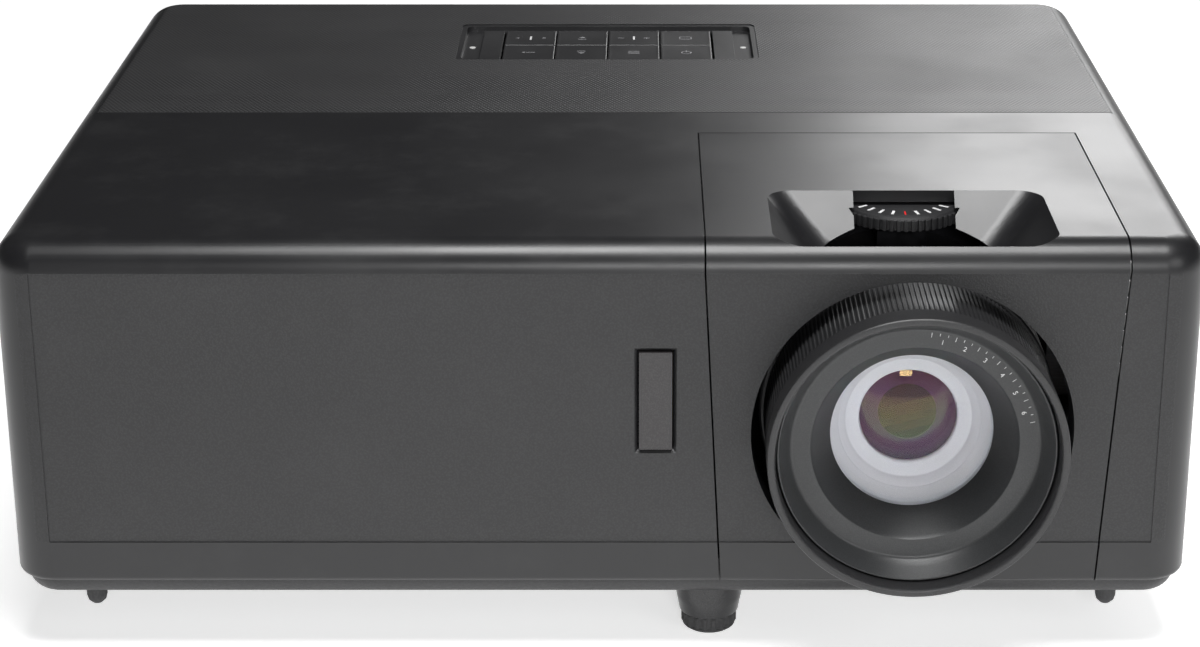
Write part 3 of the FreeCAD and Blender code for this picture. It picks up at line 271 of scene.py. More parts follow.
def makeGrainGroup():
    # leather-like moulded grain: cells for the pebbles, noise for the drift in gloss
    group, start, end = newGroup(
        "mouldedGrain",
        (("Vector", "NodeSocketVector", None), ("Scale", "NodeSocketFloat", 1.0)),
        (("Height", "NodeSocketFloat"), ("Gloss Drift", "NodeSocketFloat"), ("Tone", "NodeSocketFloat")),
    )
    size = addNode(group, "ShaderNodeVectorMath", operation="SCALE")
    group.links.new(start.outputs["Vector"], size.inputs[0])
    group.links.new(start.outputs["Scale"], size.inputs["Scale"])
    cells = addNode(group, "ShaderNodeTexVoronoi", feature="SMOOTH_F1")
    cells.inputs["Scale"].default_value = 1500
    fine = addNode(group, "ShaderNodeTexNoise")
    fine.inputs["Scale"].default_value = 2600
    fine.inputs["Detail"].default_value = 3
    drift = addNode(group, "ShaderNodeTexNoise")
    drift.inputs["Scale"].default_value = 14
    drift.inputs["Detail"].default_value = 4
    for node in (cells, fine, drift):
        group.links.new(size.outputs[0], node.inputs["Vector"])
    pebble = spread(group, cells.outputs["Distance"], 0.05, 0.65, 1.0, 0.0)
    height = math2(group, "ADD", pebble, math2(group, "MULTIPLY", fine.outputs["Fac"], 0.5))
    group.links.new(height, end.inputs["Height"])
    group.links.new(spread(group, drift.outputs["Fac"], 0.3, 0.7, -1.0, 1.0), end.inputs["Gloss Drift"])
    group.links.new(
        math2(group, "ADD", math2(group, "MULTIPLY", fine.outputs["Fac"], 0.5), pebble),
        end.inputs["Tone"],
    )
    return group


def makeDustGroup():
    # faint dust and handling marks, as a mask
    group, start, end = newGroup(
        "handlingMarks",
        (("Vector", "NodeSocketVector", None), ("Amount", "NodeSocketFloat", 0.3)),
        (("Mask", "NodeSocketFloat"),),
    )
    clouds = addNode(group, "ShaderNodeTexNoise")
    clouds.inputs["Scale"].default_value = 38
    clouds.inputs["Detail"].default_value = 8
    clouds.inputs["Roughness"].default_value = 0.65
    specks = addNode(group, "ShaderNodeTexVoronoi", feature="F1")
    specks.inputs["Scale"].default_value = 420
    for node in (clouds, specks):
        group.links.new(start.outputs["Vector"], node.inputs["Vector"])
    haze = spread(group, clouds.outputs["Fac"], 0.45, 0.75)
    dots = spread(group, specks.outputs["Distance"], 0.03, 0.09, 1.0, 0.0)
    mask = math2(group, "MULTIPLY", math2(group, "MAXIMUM", haze, dots), start.outputs["Amount"])
    group.links.new(mask, end.inputs["Mask"])
    return group


def makeKnitGroup():
    # staggered rows of small dimples, as on the rear half of the lid
    group, start, end = newGroup(
        "knitRows",
        (("Vector", "NodeSocketVector", None), ("Pitch", "NodeSocketFloat", 0.0016)),
        (("Height", "NodeSocketFloat"), ("Dimple", "NodeSocketFloat")),
    )
    split = addNode(group, "ShaderNodeSeparateXYZ")
    group.links.new(start.outputs["Vector"], split.inputs[0])
    pitch = start.outputs["Pitch"]
    across = math2(group, "DIVIDE", split.outputs["X"], pitch)
    along = math2(group, "DIVIDE", split.outputs["Y"], math2(group, "MULTIPLY", pitch, 0.86))
    row = math2(group, "FLOOR", along)
    stagger = math2(group, "MULTIPLY", math2(group, "PINGPONG", row, 1.0), 0.5)
    u = math2(group, "SUBTRACT", math2(group, "FRACT", math2(group, "ADD", across, stagger)), 0.5)
    v = math2(group, "SUBTRACT", math2(group, "FRACT", along), 0.5)
    far = math2(
        group,
        "SQRT",
        math2(group, "ADD", math2(group, "POWER", math2(group, "ABSOLUTE", u), 2.0),
              math2(group, "POWER", math2(group, "ABSOLUTE", v), 2.0)),
    )
    dimple = spread(group, far, 0.18, 0.46, 1.0, 0.0)
    group.links.new(math2(group, "SUBTRACT", 1.0, dimple), end.inputs["Height"])
    group.links.new(dimple, end.inputs["Dimple"])
    return group


mouldedGrain = makeGrainGroup()
handlingMarks = makeDustGroup()
knitRows = makeKnitGroup()


# ---- finishes
def newPaint(name, colour, roughness, metallic=0.0, **shader):
    paint = bpy.data.materials.new(name)
    paint.use_nodes = True
    tree = paint.node_tree
    bsdf = tree.nodes["Principled BSDF"]
    bsdf.inputs["Base Color"].default_value = (*colour, 1.0)
    bsdf.inputs["Roughness"].default_value = roughness
    bsdf.inputs["Metallic"].default_value = metallic
    for label, value in shader.items():
        bsdf.inputs[label.replace("_", " ")].default_value = value
    coords = addNode(tree, "ShaderNodeTexCoord")
    return paint, tree, bsdf, coords.outputs["Object"]


def placeGroup(tree, group, vector, **values):
    node = addNode(tree, "ShaderNodeGroup")
    node.node_tree = group
    tree.links.new(vector, node.inputs["Vector"])
    for label, value in values.items():
        node.inputs[label].default_value = value
    return node


def addBump(tree, bsdf, height, strength, distance=0.0001):
    bump = addNode(tree, "ShaderNodeBump")
    bump.inputs["Distance"].default_value = distance
    if isinstance(strength, (int, float)):
        bump.inputs["Strength"].default_value = strength
    else:
        tree.links.new(strength, bump.inputs["Strength"])
    tree.links.new(height, bump.inputs["Height"])
    tree.links.new(bump.outputs["Normal"], bsdf.inputs["Normal"])
    return bump


def plasticPaint(name, colour, roughness, grain=1.0, strength=0.3, dust=0.15, lift=0.35, **shader):
    # moulded plastic: grain in the height, drift in the gloss, and a little dust
    paint, tree, bsdf, vector = newPaint(name, colour, roughness, **shader)
    grains = placeGroup(tree, mouldedGrain, vector, Scale=grain)
    marks = placeGroup(tree, handlingMarks, vector, Amount=dust)
    lighter = tuple(min(1.0, c * (1 + lift) + 0.004) for c in colour)
    toned = mixColour(tree, spread(tree, grains.outputs["Tone"], 0.2, 1.3), colour, lighter)
    dusty = tuple(min(1.0, c * 1.6 + 0.03) for c in colour)
    tree.links.new(mixColour(tree, marks.outputs["Mask"], toned, dusty), bsdf.inputs["Base Color"])
    gloss = math2(tree, "MULTIPLY_ADD", grains.outputs["Gloss Drift"], 0.04, roughness)
    gloss = math2(tree, "MULTIPLY_ADD", marks.outputs["Mask"], 0.25, gloss, clamp=True)
    tree.links.new(gloss, bsdf.inputs["Roughness"])
    addBump(tree, bsdf, grains.outputs["Height"], strength)
    return paint


def metalPaint(name, colour, roughness, brush=(1, 1, 30), strength=0.15):
    # metal with fine brushed or cast lines
    paint, tree, bsdf, vector = newPaint(name, colour, roughness, metallic=1.0)
    mapping = addNode(tree, "ShaderNodeMapping")
    mapping.inputs["Scale"].default_value = brush
    tree.links.new(vector, mapping.inputs["Vector"])
    lines = addNode(tree, "ShaderNodeTexNoise")
    lines.inputs["Scale"].default_value = 220
    lines.inputs["Detail"].default_value = 5
    tree.links.new(mapping.outputs[0], lines.inputs["Vector"])
    darker = tuple(c * 0.72 for c in colour)
    tree.links.new(
        mixColour(tree, spread(tree, lines.outputs["Fac"], 0.3, 0.7), darker, colour),
        bsdf.inputs["Base Color"],
    )
    tree.links.new(
        spread(tree, lines.outputs["Fac"], 0.25, 0.75, roughness * 0.75, min(1.0, roughness * 1.3)),
        bsdf.inputs["Roughness"],
    )
    addBump(tree, bsdf, lines.outputs["Fac"], strength, 0.00005)
    return paint


lidZones = {
    "stepBehindFront": 140.6 * mm,
    "creaseBelowTop": 9.0 * mm,
    "grooveBelowTop": 99.4 * mm,
    "knitPitch": 1.6 * mm,
    "smoothColour": (0.010, 0.010, 0.011),
    "grainColour": (0.015, 0.015, 0.016),
    "knitColour": (0.026, 0.026, 0.027),
}


def zonedPaint(name, zones, seed):
    # one moulding with three finishes: smooth satin lid, grained front, knit-textured rear half of the lid whose
    # dimple floors carry painted shade
    paint, tree, bsdf, vector = newPaint(name, zones["smoothColour"], 0.34)
    split = addNode(tree, "ShaderNodeSeparateXYZ")
    tree.links.new(vector, split.inputs[0])
    shifted = addNode(tree, "ShaderNodeMapping")
    shifted.inputs["Location"].default_value = (seed, 0, 0)
    tree.links.new(vector, shifted.inputs["Vector"])
    height, depth = split.outputs["Z"], split.outputs["Y"]
    edge = 0.12 * mm
    onTop = spread(tree, height, topZ - 0.30 * mm, topZ - 0.15 * mm)
    step = frontY + zones["stepBehindFront"]
    knitMask = math2(tree, "MULTIPLY", onTop, spread(tree, depth, step - edge, step + edge))
    crease = topZ - zones["creaseBelowTop"]
    groove = topZ - zones["grooveBelowTop"]
    frontMask = math2(
        tree,
        "MULTIPLY",
        spread(tree, depth, frontY + 1.2 * mm, frontY + 1.0 * mm),
        math2(
            tree,
            "MULTIPLY",
            spread(tree, height, crease + edge, crease - edge),
            spread(tree, height, groove - edge, groove + edge),
        ),
    )
    grains = placeGroup(tree, mouldedGrain, shifted.outputs[0], Scale=1.1)
    satin = placeGroup(tree, mouldedGrain, shifted.outputs[0], Scale=2.2)
    knit = placeGroup(tree, knitRows, vector, Pitch=zones["knitPitch"])
    marks = placeGroup(tree, handlingMarks, vector, Amount=0.12)
    pebbled = mixColour(
        tree,
        spread(tree, grains.outputs["Tone"], 0.1, 1.3),
        tuple(c * 0.75 for c in zones["grainColour"]),
        tuple(c * 1.35 for c in zones["grainColour"]),
    )
    # knit colour: the raised knit tone, with the dimple floors painted near black as painted shade in the dimples
    knitToneWithDimpleShade = mixColour(
        tree, knit.outputs["Dimple"], tuple(c * 1.5 for c in zones["knitColour"]), (0.006, 0.006, 0.006)
    )
    colour = mixColour(tree, knitMask, zones["smoothColour"], knitToneWithDimpleShade)
    colour = mixColour(tree, frontMask, colour, pebbled)
    colour = mixColour(tree, marks.outputs["Mask"], colour, (0.05, 0.05, 0.05))
    tree.links.new(colour, bsdf.inputs["Base Color"])
    gloss = math2(tree, "MULTIPLY_ADD", frontMask, 0.14, 0.34)
    gloss = math2(tree, "MULTIPLY_ADD", knitMask, 0.06, gloss)
    gloss = math2(tree, "MULTIPLY_ADD", grains.outputs["Gloss Drift"], 0.03, gloss)
    gloss = math2(tree, "MULTIPLY_ADD", marks.outputs["Mask"], 0.2, gloss, clamp=True)
    tree.links.new(gloss, bsdf.inputs["Roughness"])
    relief = math2(tree, "MULTIPLY", satin.outputs["Height"], 0.06)
    relief = math2(tree, "MULTIPLY_ADD", math2(tree, "MULTIPLY", grains.outputs["Height"], frontMask), 0.6, relief)
    relief = math2(tree, "MULTIPLY_ADD", math2(tree, "MULTIPLY", knit.outputs["Height"], knitMask), 1.6, relief)
    addBump(tree, bsdf, relief, 0.6, 0.00012)
    return paint


def coatedGlass(name, tint, coat):
    # coat is the thickness of the purple-green film, in nanometres
    paint, tree, bsdf, vector = newPaint(
        name, tint, 0.0, Transmission_Weight=1.0, IOR=1.52, Thin_Film_Thickness=coat, Thin_Film_IOR=1.36
    )
    marks = placeGroup(tree, handlingMarks, vector, Amount=0.03)
    tree.links.new(math2(tree, "MULTIPLY", marks.outputs["Mask"], 0.5), bsdf.inputs["Roughness"])
    return paint


def inkPaint(name, colour, roughness=0.5):
    # printed ink, thin in places
    paint, tree, bsdf, vector = newPaint(name, colour, roughness)
    worn = addNode(tree, "ShaderNodeTexNoise")
    worn.inputs["Scale"].default_value = 900
    worn.inputs["Detail"].default_value = 4
    tree.links.new(vector, worn.inputs["Vector"])
    thin = tuple(c * 0.72 for c in colour)
    tree.links.new(
        mixColour(tree, spread(tree, worn.outputs["Fac"], 0.35, 0.65), thin, colour),
        bsdf.inputs["Base Color"],
    )
    addBump(tree, bsdf, worn.outputs["Fac"], 0.1)
    return paint


def boardPaint(name):
    # solder mask over copper tracks
    paint, tree, bsdf, vector = newPaint(name, (0.012, 0.10, 0.045), 0.4)
    tracks = addNode(tree, "ShaderNodeTexBrick")
    tracks.inputs["Scale"].default_value = 90
    tracks.inputs["Mortar Size"].default_value = 0.012
    tracks.inputs["Color1"].default_value = (0.010, 0.085, 0.04, 1)
    tracks.inputs["Color2"].default_value = (0.014, 0.12, 0.055, 1)
    tracks.inputs["Mortar"].default_value = (0.04, 0.22, 0.10, 1)
    tree.links.new(vector, tracks.inputs["Vector"])
    tree.links.new(tracks.outputs["Color"], bsdf.inputs["Base Color"])
    addBump(tree, bsdf, tracks.outputs["Fac"], 0.2)
    return paint


lidPaint = zonedPaint("lidMoulding", lidZones, 0.0)
coverPaint = zonedPaint("lensCoverMoulding", lidZones, 0.37)
paints = {
    "shell": lidPaint,
    "cover": coverPaint,
    "case": plasticPaint("caseMoulding", (0.010, 0.010, 0.011), 0.42, 0.9, 0.25),
    "grille": plasticPaint("grilleMoulding", (0.014, 0.014, 0.015), 0.45, 1.2, 0.2),
    "window": plasticPaint("tintedWindow", (0.022, 0.020, 0.021), 0.30, 1.4, 0.12, 0.1),
    "keys": plasticPaint("keyMoulding", (0.014, 0.014, 0.015), 0.36, 2.4, 0.08, 0.08),
    "tray": plasticPaint("trayMoulding", (0.012, 0.012, 0.013), 0.40, 2.0, 0.10, 0.08),
    "lamp": plasticPaint("lightPipe", (0.55, 0.55, 0.54), 0.35, 2.0, 0.05, 0.05),
    "brass": metalPaint("turnedBrass", (0.75, 0.56, 0.28), 0.3),
    "screw": metalPaint("blackenedSteel", (0.10, 0.10, 0.11), 0.42),
    "steel": metalPaint("groundSteel", (0.62, 0.62, 0.64), 0.28),
    "rubber": plasticPaint("footRubber", (0.030, 0.030, 0.031), 0.78, 0.9, 0.45, 0.35),
    "collar": plasticPaint("footCollarMoulding", (0.010, 0.010, 0.011), 0.22, 2.0, 0.05, 0.1),
    "ring": plasticPaint("lensRingMoulding", (0.016, 0.016, 0.017), 0.40, 1.6, 0.12, 0.08),
    "cell": plasticPaint("lensFrontPaint", (0.024, 0.025, 0.026), 0.36, 2.0, 0.10, 0.06),
    "glass": coatedGlass("clearCoatedGlass", (0.97, 0.98, 1.0), 110),
    "baffle": plasticPaint("brightCone", (0.92, 0.92, 0.94), 0.32, 2.0, 0.04, 0.02, 0.05),
    "casting": metalPaint("castAluminium", (0.50, 0.50, 0.52), 0.5, (1, 1, 1), 0.4),
    "black_casting": metalPaint("blackAnodised", (0.020, 0.020, 0.022), 0.5, (1, 1, 1), 0.3),
    "fins": metalPaint("extrudedAluminium", (0.62, 0.62, 0.64), 0.36, (1, 1, 24)),
    "fan": plasticPaint("fanMoulding", (0.014, 0.014, 0.014), 0.42, 1.5, 0.15),
    "board": boardPaint("circuitBoard"),
    "port": plasticPaint("rearPanelMoulding", (0.016, 0.016, 0.017), 0.48, 0.8, 0.3),
    "metal_port": metalPaint("platedSocket", (0.60, 0.60, 0.60), 0.3),
    "phosphor": plasticPaint("phosphorCoat", (0.75, 0.60, 0.06), 0.5, 2.0, 0.1),
}
violetGlass = coatedGlass("violetCoatedGlass", (0.30, 0.16, 0.34), 430)
whiteInk = inkPaint("whiteInk", (0.80, 0.80, 0.80))
paleInk = inkPaint("paleInk", (0.26, 0.26, 0.27))
redInk = inkPaint("redInk", (0.75, 0.02, 0.02))
print("finishes made")

slotOf = {row["node"]: row["material_slot"] for row in frame["record"]["subparts"]}
bodyOf = {n: b for b, names in frame["record"]["behaviour"]["bodies"].items() for n in names}
for nodeName, part in nodes.items():
    part.data.materials.clear()
    part.data.materials.append(paints[slotOf[nodeName]])


# ---- mouldings: the CAD shapes with soft edges
mouldings = {
    "lid": {"node": "top_cover", "edge": 0.25},
    "lensCover": {"node": "lens_cover", "edge": 0.25},
    "caseBottom": {"node": "bottom_case", "edge": 0.3},
    "keypadTray": {"node": "keypad_tray", "edge": 0.2},
    "footCollars": {"node": "foot_collars", "edge": 0.3},
    "cornerBumpers": {"node": "bumpers", "edge": 0.15},
}


def makeMouldings():
    for name, facts in mouldings.items():
        node = facts["node"]
        piece = copyNode(node)
        softenEdges(piece, facts["edge"] * mm)
        finishPiece(piece, name, bodyOf[node], [paints[slotOf[node]]], [node])


makeMouldings()
print("mouldings done")


# ---- focus ring: a plain rim, then fine ribs
focusRing = {
    "rim": 46.2, "rimFront": -20.3, "rimBack": -11.0, "bore": 43.5, "back": 18.6,
    "ribFoot": 45.25, "ribTop": 45.75, "ribs": 180, "ribWidth": 0.85,
}


def makeRibs(count, foot, top, width, front, back, centre, axis=(0, 1, 0)):
    # one rounded rib, copied round the axis
    low = centre + Vector((foot * mm, front * mm, -width / 2 * mm))
    high = centre + Vector((top * mm, back * mm, width / 2 * mm))
    rib = startBox(low, high)
    softenEdges(rib, min(width, top - foot) * 0.3 * mm, 30, 1)
    copiesAround(rib, count, centre, axis)
    return rib


def makeFocusRing():
    f = focusRing
    profile = (
        (f["bore"], f["rimFront"] + 1.7), (44.0, f["rimFront"] + 0.35), (44.35, f["rimFront"] + 0.08),
        (44.7, f["rimFront"]), (45.5, f["rimFront"]), (45.95, f["rimFront"] + 0.12),
        (f["rim"], f["rimFront"] + 0.5), (f["rim"], f["rimBack"] - 0.6),
        (f["rim"] - 0.15, f["rimBack"] - 0.2), (f["ribFoot"], f["rimBack"]),
        (f["ribFoot"], f["back"] - 1.2), (f["ribFoot"] - 0.4, f["back"]), (f["bore"], f["back"]),
        (f["bore"], f["rimFront"] + 1.7),
    )
    body = spinProfile([(r * mm, d * mm) for r, d in profile], lensCentre, (0, 1, 0), 144, False)
    ribs = makeRibs(
        f["ribs"], f["ribFoot"] - 0.2, f["ribTop"], f["ribWidth"], f["rimBack"], f["back"] - 1.0, lensCentre
    )
    ring = joinPieces([body, ribs])
    finishPiece(ring, "focusRing", "focus_ring", [paints["ring"]], ["focus_ring"])


def makeZoomRing():
    low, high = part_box("zoom_ring")
    front, back = (low.y - frontY) / mm, (high.y - frontY) / mm
    bore, foot, top = 43.95, 46.0, 46.9
    profile = (
        (bore, front), (top - 0.6, front), (top, front + 0.6), (top, front + 2.0), (foot, front + 2.6),
        (foot, back - 2.6), (top, back - 2.0), (top, back - 0.6), (top - 0.6, back), (bore, back),
        (bore, front),
    )
    body = spinProfile([(r * mm, d * mm) for r, d in profile], lensCentre, (0, 1, 0), 144, False)
    ribs = makeRibs(90, foot - 0.2, top, 2.0, front + 2.5, back - 2.5, lensCentre)
    ring = joinPieces([body, ribs])
    finishPiece(ring, "zoomRing", "zoom_ring", [paints["ring"]], ["zoom_ring"])
    place = lensCentre + Vector((0.8 * mm, (front + 3.2) * mm, top * mm))
    finishPiece(flatMark("bar", place, (2.2, 4.0), 0, "Z"), "zoomMark", "zoom_ring", [whiteInk])
    place += Vector((0, 0, 0.05 * mm))
    finishPiece(flatMark("bar", place, (0.6, 3.0), 0, "Z"), "zoomIndex", "zoom_ring", [redInk])


# ---- lens front: flare, marked ring, glossy cone
lensFront = {
    "outline": (
        (42.4, -14.9), (42.75, -15.0), (43.1, -14.6), (43.1, -3.0), (40.5, -3.0), (40.5, 20.0),
        (38.5, 20.0), (38.5, 0.5), (30.0, 0.5), (30.0, 20.0), (28.0, 20.0), (28.0, 3.2), (25.7, 3.2),
        (25.5, 2.9), (31.4, -6.6), (31.75, -7.3), (32.3, -7.95), (33.0, -8.1), (37.6, -8.1),
        (38.2, -8.25), (38.9, -8.8), (40.2, -10.9), (41.4, -13.0), (42.4, -14.9),
    ),
    "scaleRadius": 35.3,
    "ticks": 19,
    "tickStart": 84,
    "tickEnd": 12,
}


def makeLensFront():
    profile = [(r * mm, d * mm) for r, d in lensFront["outline"]]
    body = spinProfile(profile, lensCentre, (0, 1, 0), 144, False)
    deselectAll()
    bpy.ops.mesh.primitive_cylinder_add(
        vertices=24, radius=2.0 * mm, depth=5.1 * mm,
        location=(lensX, frontY + 10 * mm, lensZ - 42.05 * mm),
    )
    pin = bpy.context.object
    softenEdges(pin, 0.3 * mm, 40, 2)
    bpy.ops.object.transform_apply(location=True, rotation=True, scale=True)
    front = joinPieces([body, pin])
    finishPiece(front, "lensFront", "front_group", [paints["cell"]], ["front_cell"])


def flatMark(kind, place, size, turn, facing="Y", thick=0.06):
    # a thin printed shape: a bar, a triangle, a ring or a disc; facing is the way it looks
    deselectAll()
    if kind == "bar":
        bpy.ops.mesh.primitive_cube_add(size=1, location=(0, 0, 0))
        piece = bpy.context.object
        piece.scale = (size[0] * mm, size[1] * mm, thick * mm)
    elif kind == "triangle":
        bpy.ops.mesh.primitive_cylinder_add(vertices=3, radius=0.5, depth=1, location=(0, 0, 0))
        piece = bpy.context.object
        piece.scale = (size[0] * mm, size[1] * mm, thick * mm)
    elif kind == "ring":
        bpy.ops.mesh.primitive_torus_add(
            major_segments=32, minor_segments=8, major_radius=size[0] / 2 * mm, minor_radius=size[1] / 2 * mm
        )
        piece = bpy.context.object
        piece.scale = (1, 1, thick / size[1])
    else:
        bpy.ops.mesh.primitive_cylinder_add(vertices=24, radius=0.5, depth=1, location=(0, 0, 0))
        piece = bpy.context.object
        piece.scale = (size[0] * mm, size[1] * mm, thick * mm)
    bpy.ops.object.transform_apply(location=False, rotation=False, scale=True)
    piece.rotation_euler = (0, 0, math.radians(turn)) if facing == "Z" else (
        math.radians(90), math.radians(turn), 0
    )
    piece.location = place
    bpy.ops.object.transform_apply(location=True, rotation=True, scale=True)
    return piece


def makeLensScale():
    # plain ticks and figures on the flat ring, where a lens has its scale
    s = lensFront
    y = frontY - 8.12 * mm
    ticks = []
    for n in range(s["ticks"]):
        angle = math.radians(s["tickStart"] + (s["tickEnd"] - s["tickStart"]) * n / (s["ticks"] - 1))
        long = n % 3 == 0
        r = (s["scaleRadius"] + (1.35 if long else 1.7)) * mm
        place = (lensX + r * math.cos(angle), y, lensZ + r * math.sin(angle))
        ticks.append(flatMark("bar", place, (1.5 if long else 0.8, 0.16), -math.degrees(angle)))
    for n, figure in enumerate(("1", "2", "3", "4", "5", "6")):
        angle = math.radians(s["tickStart"] + (s["tickEnd"] - s["tickStart"]) * (n * 3 + 1.5) / (s["ticks"] - 1))
        r = (s["scaleRadius"] - 0.6) * mm
        deselectAll()
        bpy.ops.object.text_add(location=(0, 0, 0))
        word = bpy.context.object
        word.data.body = figure
        word.data.align_x = "CENTER"
        word.data.align_y = "CENTER"
        word.data.size = 2.2 * mm
        word.data.extrude = 0.03 * mm
        bpy.ops.object.convert(target="MESH")
        word = bpy.context.object
        editMode(word)
        bpy.ops.mesh.select_all(action="SELECT")
        bpy.ops.mesh.remove_doubles(threshold=0.000001)
        objectMode()
        word.rotation_euler = (math.radians(90), math.radians(90) - angle, 0)
        word.location = (lensX + r * math.cos(angle), y, lensZ + r * math.sin(angle))
        bpy.ops.object.transform_apply(location=True, rotation=True, scale=True)
        ticks.append(word)
    scale = joinPieces(ticks)
    finishPiece(scale, "lensScale", "front_group", [whiteInk])


# ---- the inside of the lens: bright stepped cone, dark pupil and coated glass
def makeBaffle():
    outline = (
        (27.6, 7.3), (27.6, 22.0), (8.0, 22.0), (8.0, 20.7), (14.7, 20.7), (14.7, 15.9), (15.2, 15.4),
        (18.9, 14.6), (19.4, 14.2), (19.8, 13.2), (21.2, 11.9), (21.7, 11.6), (22.0, 10.9),
        (24.6, 8.2), (25.4, 7.3), (27.6, 7.3),
    )
    cone = spinProfile([(r * mm, d * mm) for r, d in outline], lensCentre, (0, 1, 0), 128, False)
    finishPiece(cone, "brightCone", "front_group", [paints["baffle"]], ["front_baffle"])


def domeProfile(radius, front, back, bulge, hollow, rings=14):
    # a lens element from its axis round to its axis: curved front, edge, curved back
    points = []
    for n in range(rings + 1):
        r = radius * n / rings
        points.append((r, front - bulge + bulge * (r / radius) ** 2))
    points[-1] = (radius, front)
    for n in range(rings + 1):
        r = radius * (1 - n / rings)
        points.append((r, back - hollow + hollow * (r / radius) ** 2))
    return points


def makeFrontGlass():
    front = domeProfile(27.7, 4.05, 7.0, 4.1, 2.0)
    inner = domeProfile(14.5, 16.5, 20.4, 3.5, 0.4)
    for name, outline, paint in (
        ("frontGlass", front, paints["glass"]), ("innerGlass", inner, violetGlass)
    ):
        glass = spinProfile([(r * mm, d * mm) for r, d in outline], lensCentre, (0, 1, 0), 96, False)
        finishPiece(glass, name, "front_group", [paint], ["front_glass"], 50)


makeFocusRing()
makeZoomRing()
makeLensFront()
makeLensScale()
makeBaffle()
makeFrontGlass()
print("lens done")


# ---- shift dial with its ribs and marks
shiftDial = {"ribs": 56, "tickRadius": 16.0, "tickStep": 13.7, "ticks": 4}


def makeDial():
    middle = (dialLow + dialHigh) / 2
    topFace = topZ - 5.0 * mm
    centre = Vector((middle.x, middle.y, topFace))
    outer = (dialHigh.x - dialLow.x) / 2 / mm
    outline = (
        (0.0, -11.4), (4.0, -11.4), (4.0, -5.0), (outer - 1.5, -5.0), (outer - 0.9, -4.6),
        (outer - 0.9, -1.4), (outer - 1.5, -0.5), (outer - 2.4, -0.1), (outer - 3.0, 0.0), (3.0, 0.0),
        (3.0, 2.1), (0.0, 2.1),
    )
    body = spinProfile([(r * mm, d * mm) for r, d in outline], centre, (0, 0, 1), 96, False)
    low = centre + Vector(((outer - 1.2) * mm, -0.7 * mm, -4.8 * mm))
    high = centre + Vector((outer * mm, 0.7 * mm, -1.0 * mm))
    rib = startBox(low, high)
    softenEdges(rib, 0.3 * mm, 30, 2)
    copiesAround(rib, shiftDial["ribs"], centre, (0, 0, 1))
    dial = joinPieces([body, rib])
    finishPiece(dial, "shiftDial", "shift_dial", [paints["ring"]], ["shift_dial"])
    ticks = []
    for n in range(-shiftDial["ticks"], shiftDial["ticks"] + 1):
        if n == 0:
            continue
        ticks.append(dialTick(centre, n))
    finishPiece(joinPieces(ticks), "dialTicks", "shift_dial", [whiteInk])
    finishPiece(dialTick(centre, 0), "dialCentreTick", "shift_dial", [redInk])


def dialTick(centre, n):
    turn = n * shiftDial["tickStep"]
    angle = math.radians(turn - 90)
    r = shiftDial["tickRadius"] * mm
    place = (centre.x + r * math.cos(angle), centre.y + r * math.sin(angle), centre.z + 0.02 * mm)
    return flatMark("bar", place, (0.5 if n == 0 else 0.9, 3.4), turn, "Z")


makeDial()
print("dial done")


# ---- keys: dished caps with bright edges, and their marks
keyMarks = {
    "key_rear_1": (("bar", 0, 0, 0.7, 4.6, 0), ("triangle", -5, 0, 1.8, 1.8, 90), ("triangle", 5, 0, 1.8, 1.8, -90)),
    "key_rear_2": (("triangle", 0, 0.8, 3.0, 2.2, 0), ("bar", 0, -1.8, 3.2, 0.4, 0)),
    "key_rear_3": (("bar", 0, 0, 0.7, 4.6, 0), ("bar", -5, 0, 2.4, 0.4, 0), ("bar", 5, 0, 2.4, 0.4, 0), ("bar", 5, 0, 0.4, 2.4, 0)),
    "key_rear_4": (("bar", 0, 1.6, 4.4, 0.4, 0), ("bar", 0, -1.6, 4.4, 0.4, 0), ("bar", -2.2, 0, 0.4, 3.6, 0), ("bar", 2.2, 0, 0.4, 3.6, 0)),
    "key_front_1": (("bar", 0.6, 0, 3.6, 0.4, 0), ("triangle", -2, 0, 1.8, 1.8, 90)),
    "key_front_2": (("triangle", 0, -0.8, 3.0, 2.2, 180), ("bar", 0, 1.8, 3.2, 0.4, 0)),
    "key_front_3": (("bar", 0, 1.5, 4.4, 0.4, 0), ("bar", 0, 0, 4.4, 0.4, 0), ("bar", 0, -1.5, 4.4, 0.4, 0)),
    "key_front_4": (("ring", 0, -0.2, 3.6, 0.4, 0), ("bar", 0, 1.5, 0.4, 2.2, 0)),
}


def makeKeys():
    for name, shapes in keyMarks.items():
        low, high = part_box(name)
        capLow = Vector((low.x, low.y, high.z - 2.4 * mm))
        cap = startBox(capLow, high)
        editMode(cap, "FACE")
        chooseFaces(cap, lambda c, n: n.z > 0.9)
        bpy.ops.mesh.inset(thickness=1.1 * mm, depth=0)
        bpy.ops.mesh.inset(thickness=0.5 * mm, depth=-0.12 * mm)
        chooseFaces(cap, lambda c, n: n.z < -0.9)
        bpy.ops.mesh.inset(thickness=6.8 * mm, depth=0)
        bpy.ops.mesh.extrude_region_move(TRANSFORM_OT_translate={"value": (0, 0, -5 * mm)})
        objectMode()
        softenEdges(cap, 0.45 * mm, 40, 3)
        finishPiece(cap, name.replace("key_", "keyCap_"), name, [paints["keys"]], [name])
        middle = (low + high) / 2
        marks = []
        bright = []
        for kind, dx, dy, w, h, turn in shapes:
            place = (middle.x + dx * mm, middle.y + dy * mm, high.z - 0.10 * mm)
            mark = flatMark(kind, place, (w, h), turn, "Z", 0.08)
            (bright if kind == "bar" and h > 4 else marks).append(mark)
        finishPiece(joinPieces(marks), name.replace("key_", "keyMark_"), name, [paleInk])
        if bright:
            finishPiece(joinPieces(bright), name.replace("key_", "keyBar_"), name, [whiteInk])


makeKeys()
print("keys done")


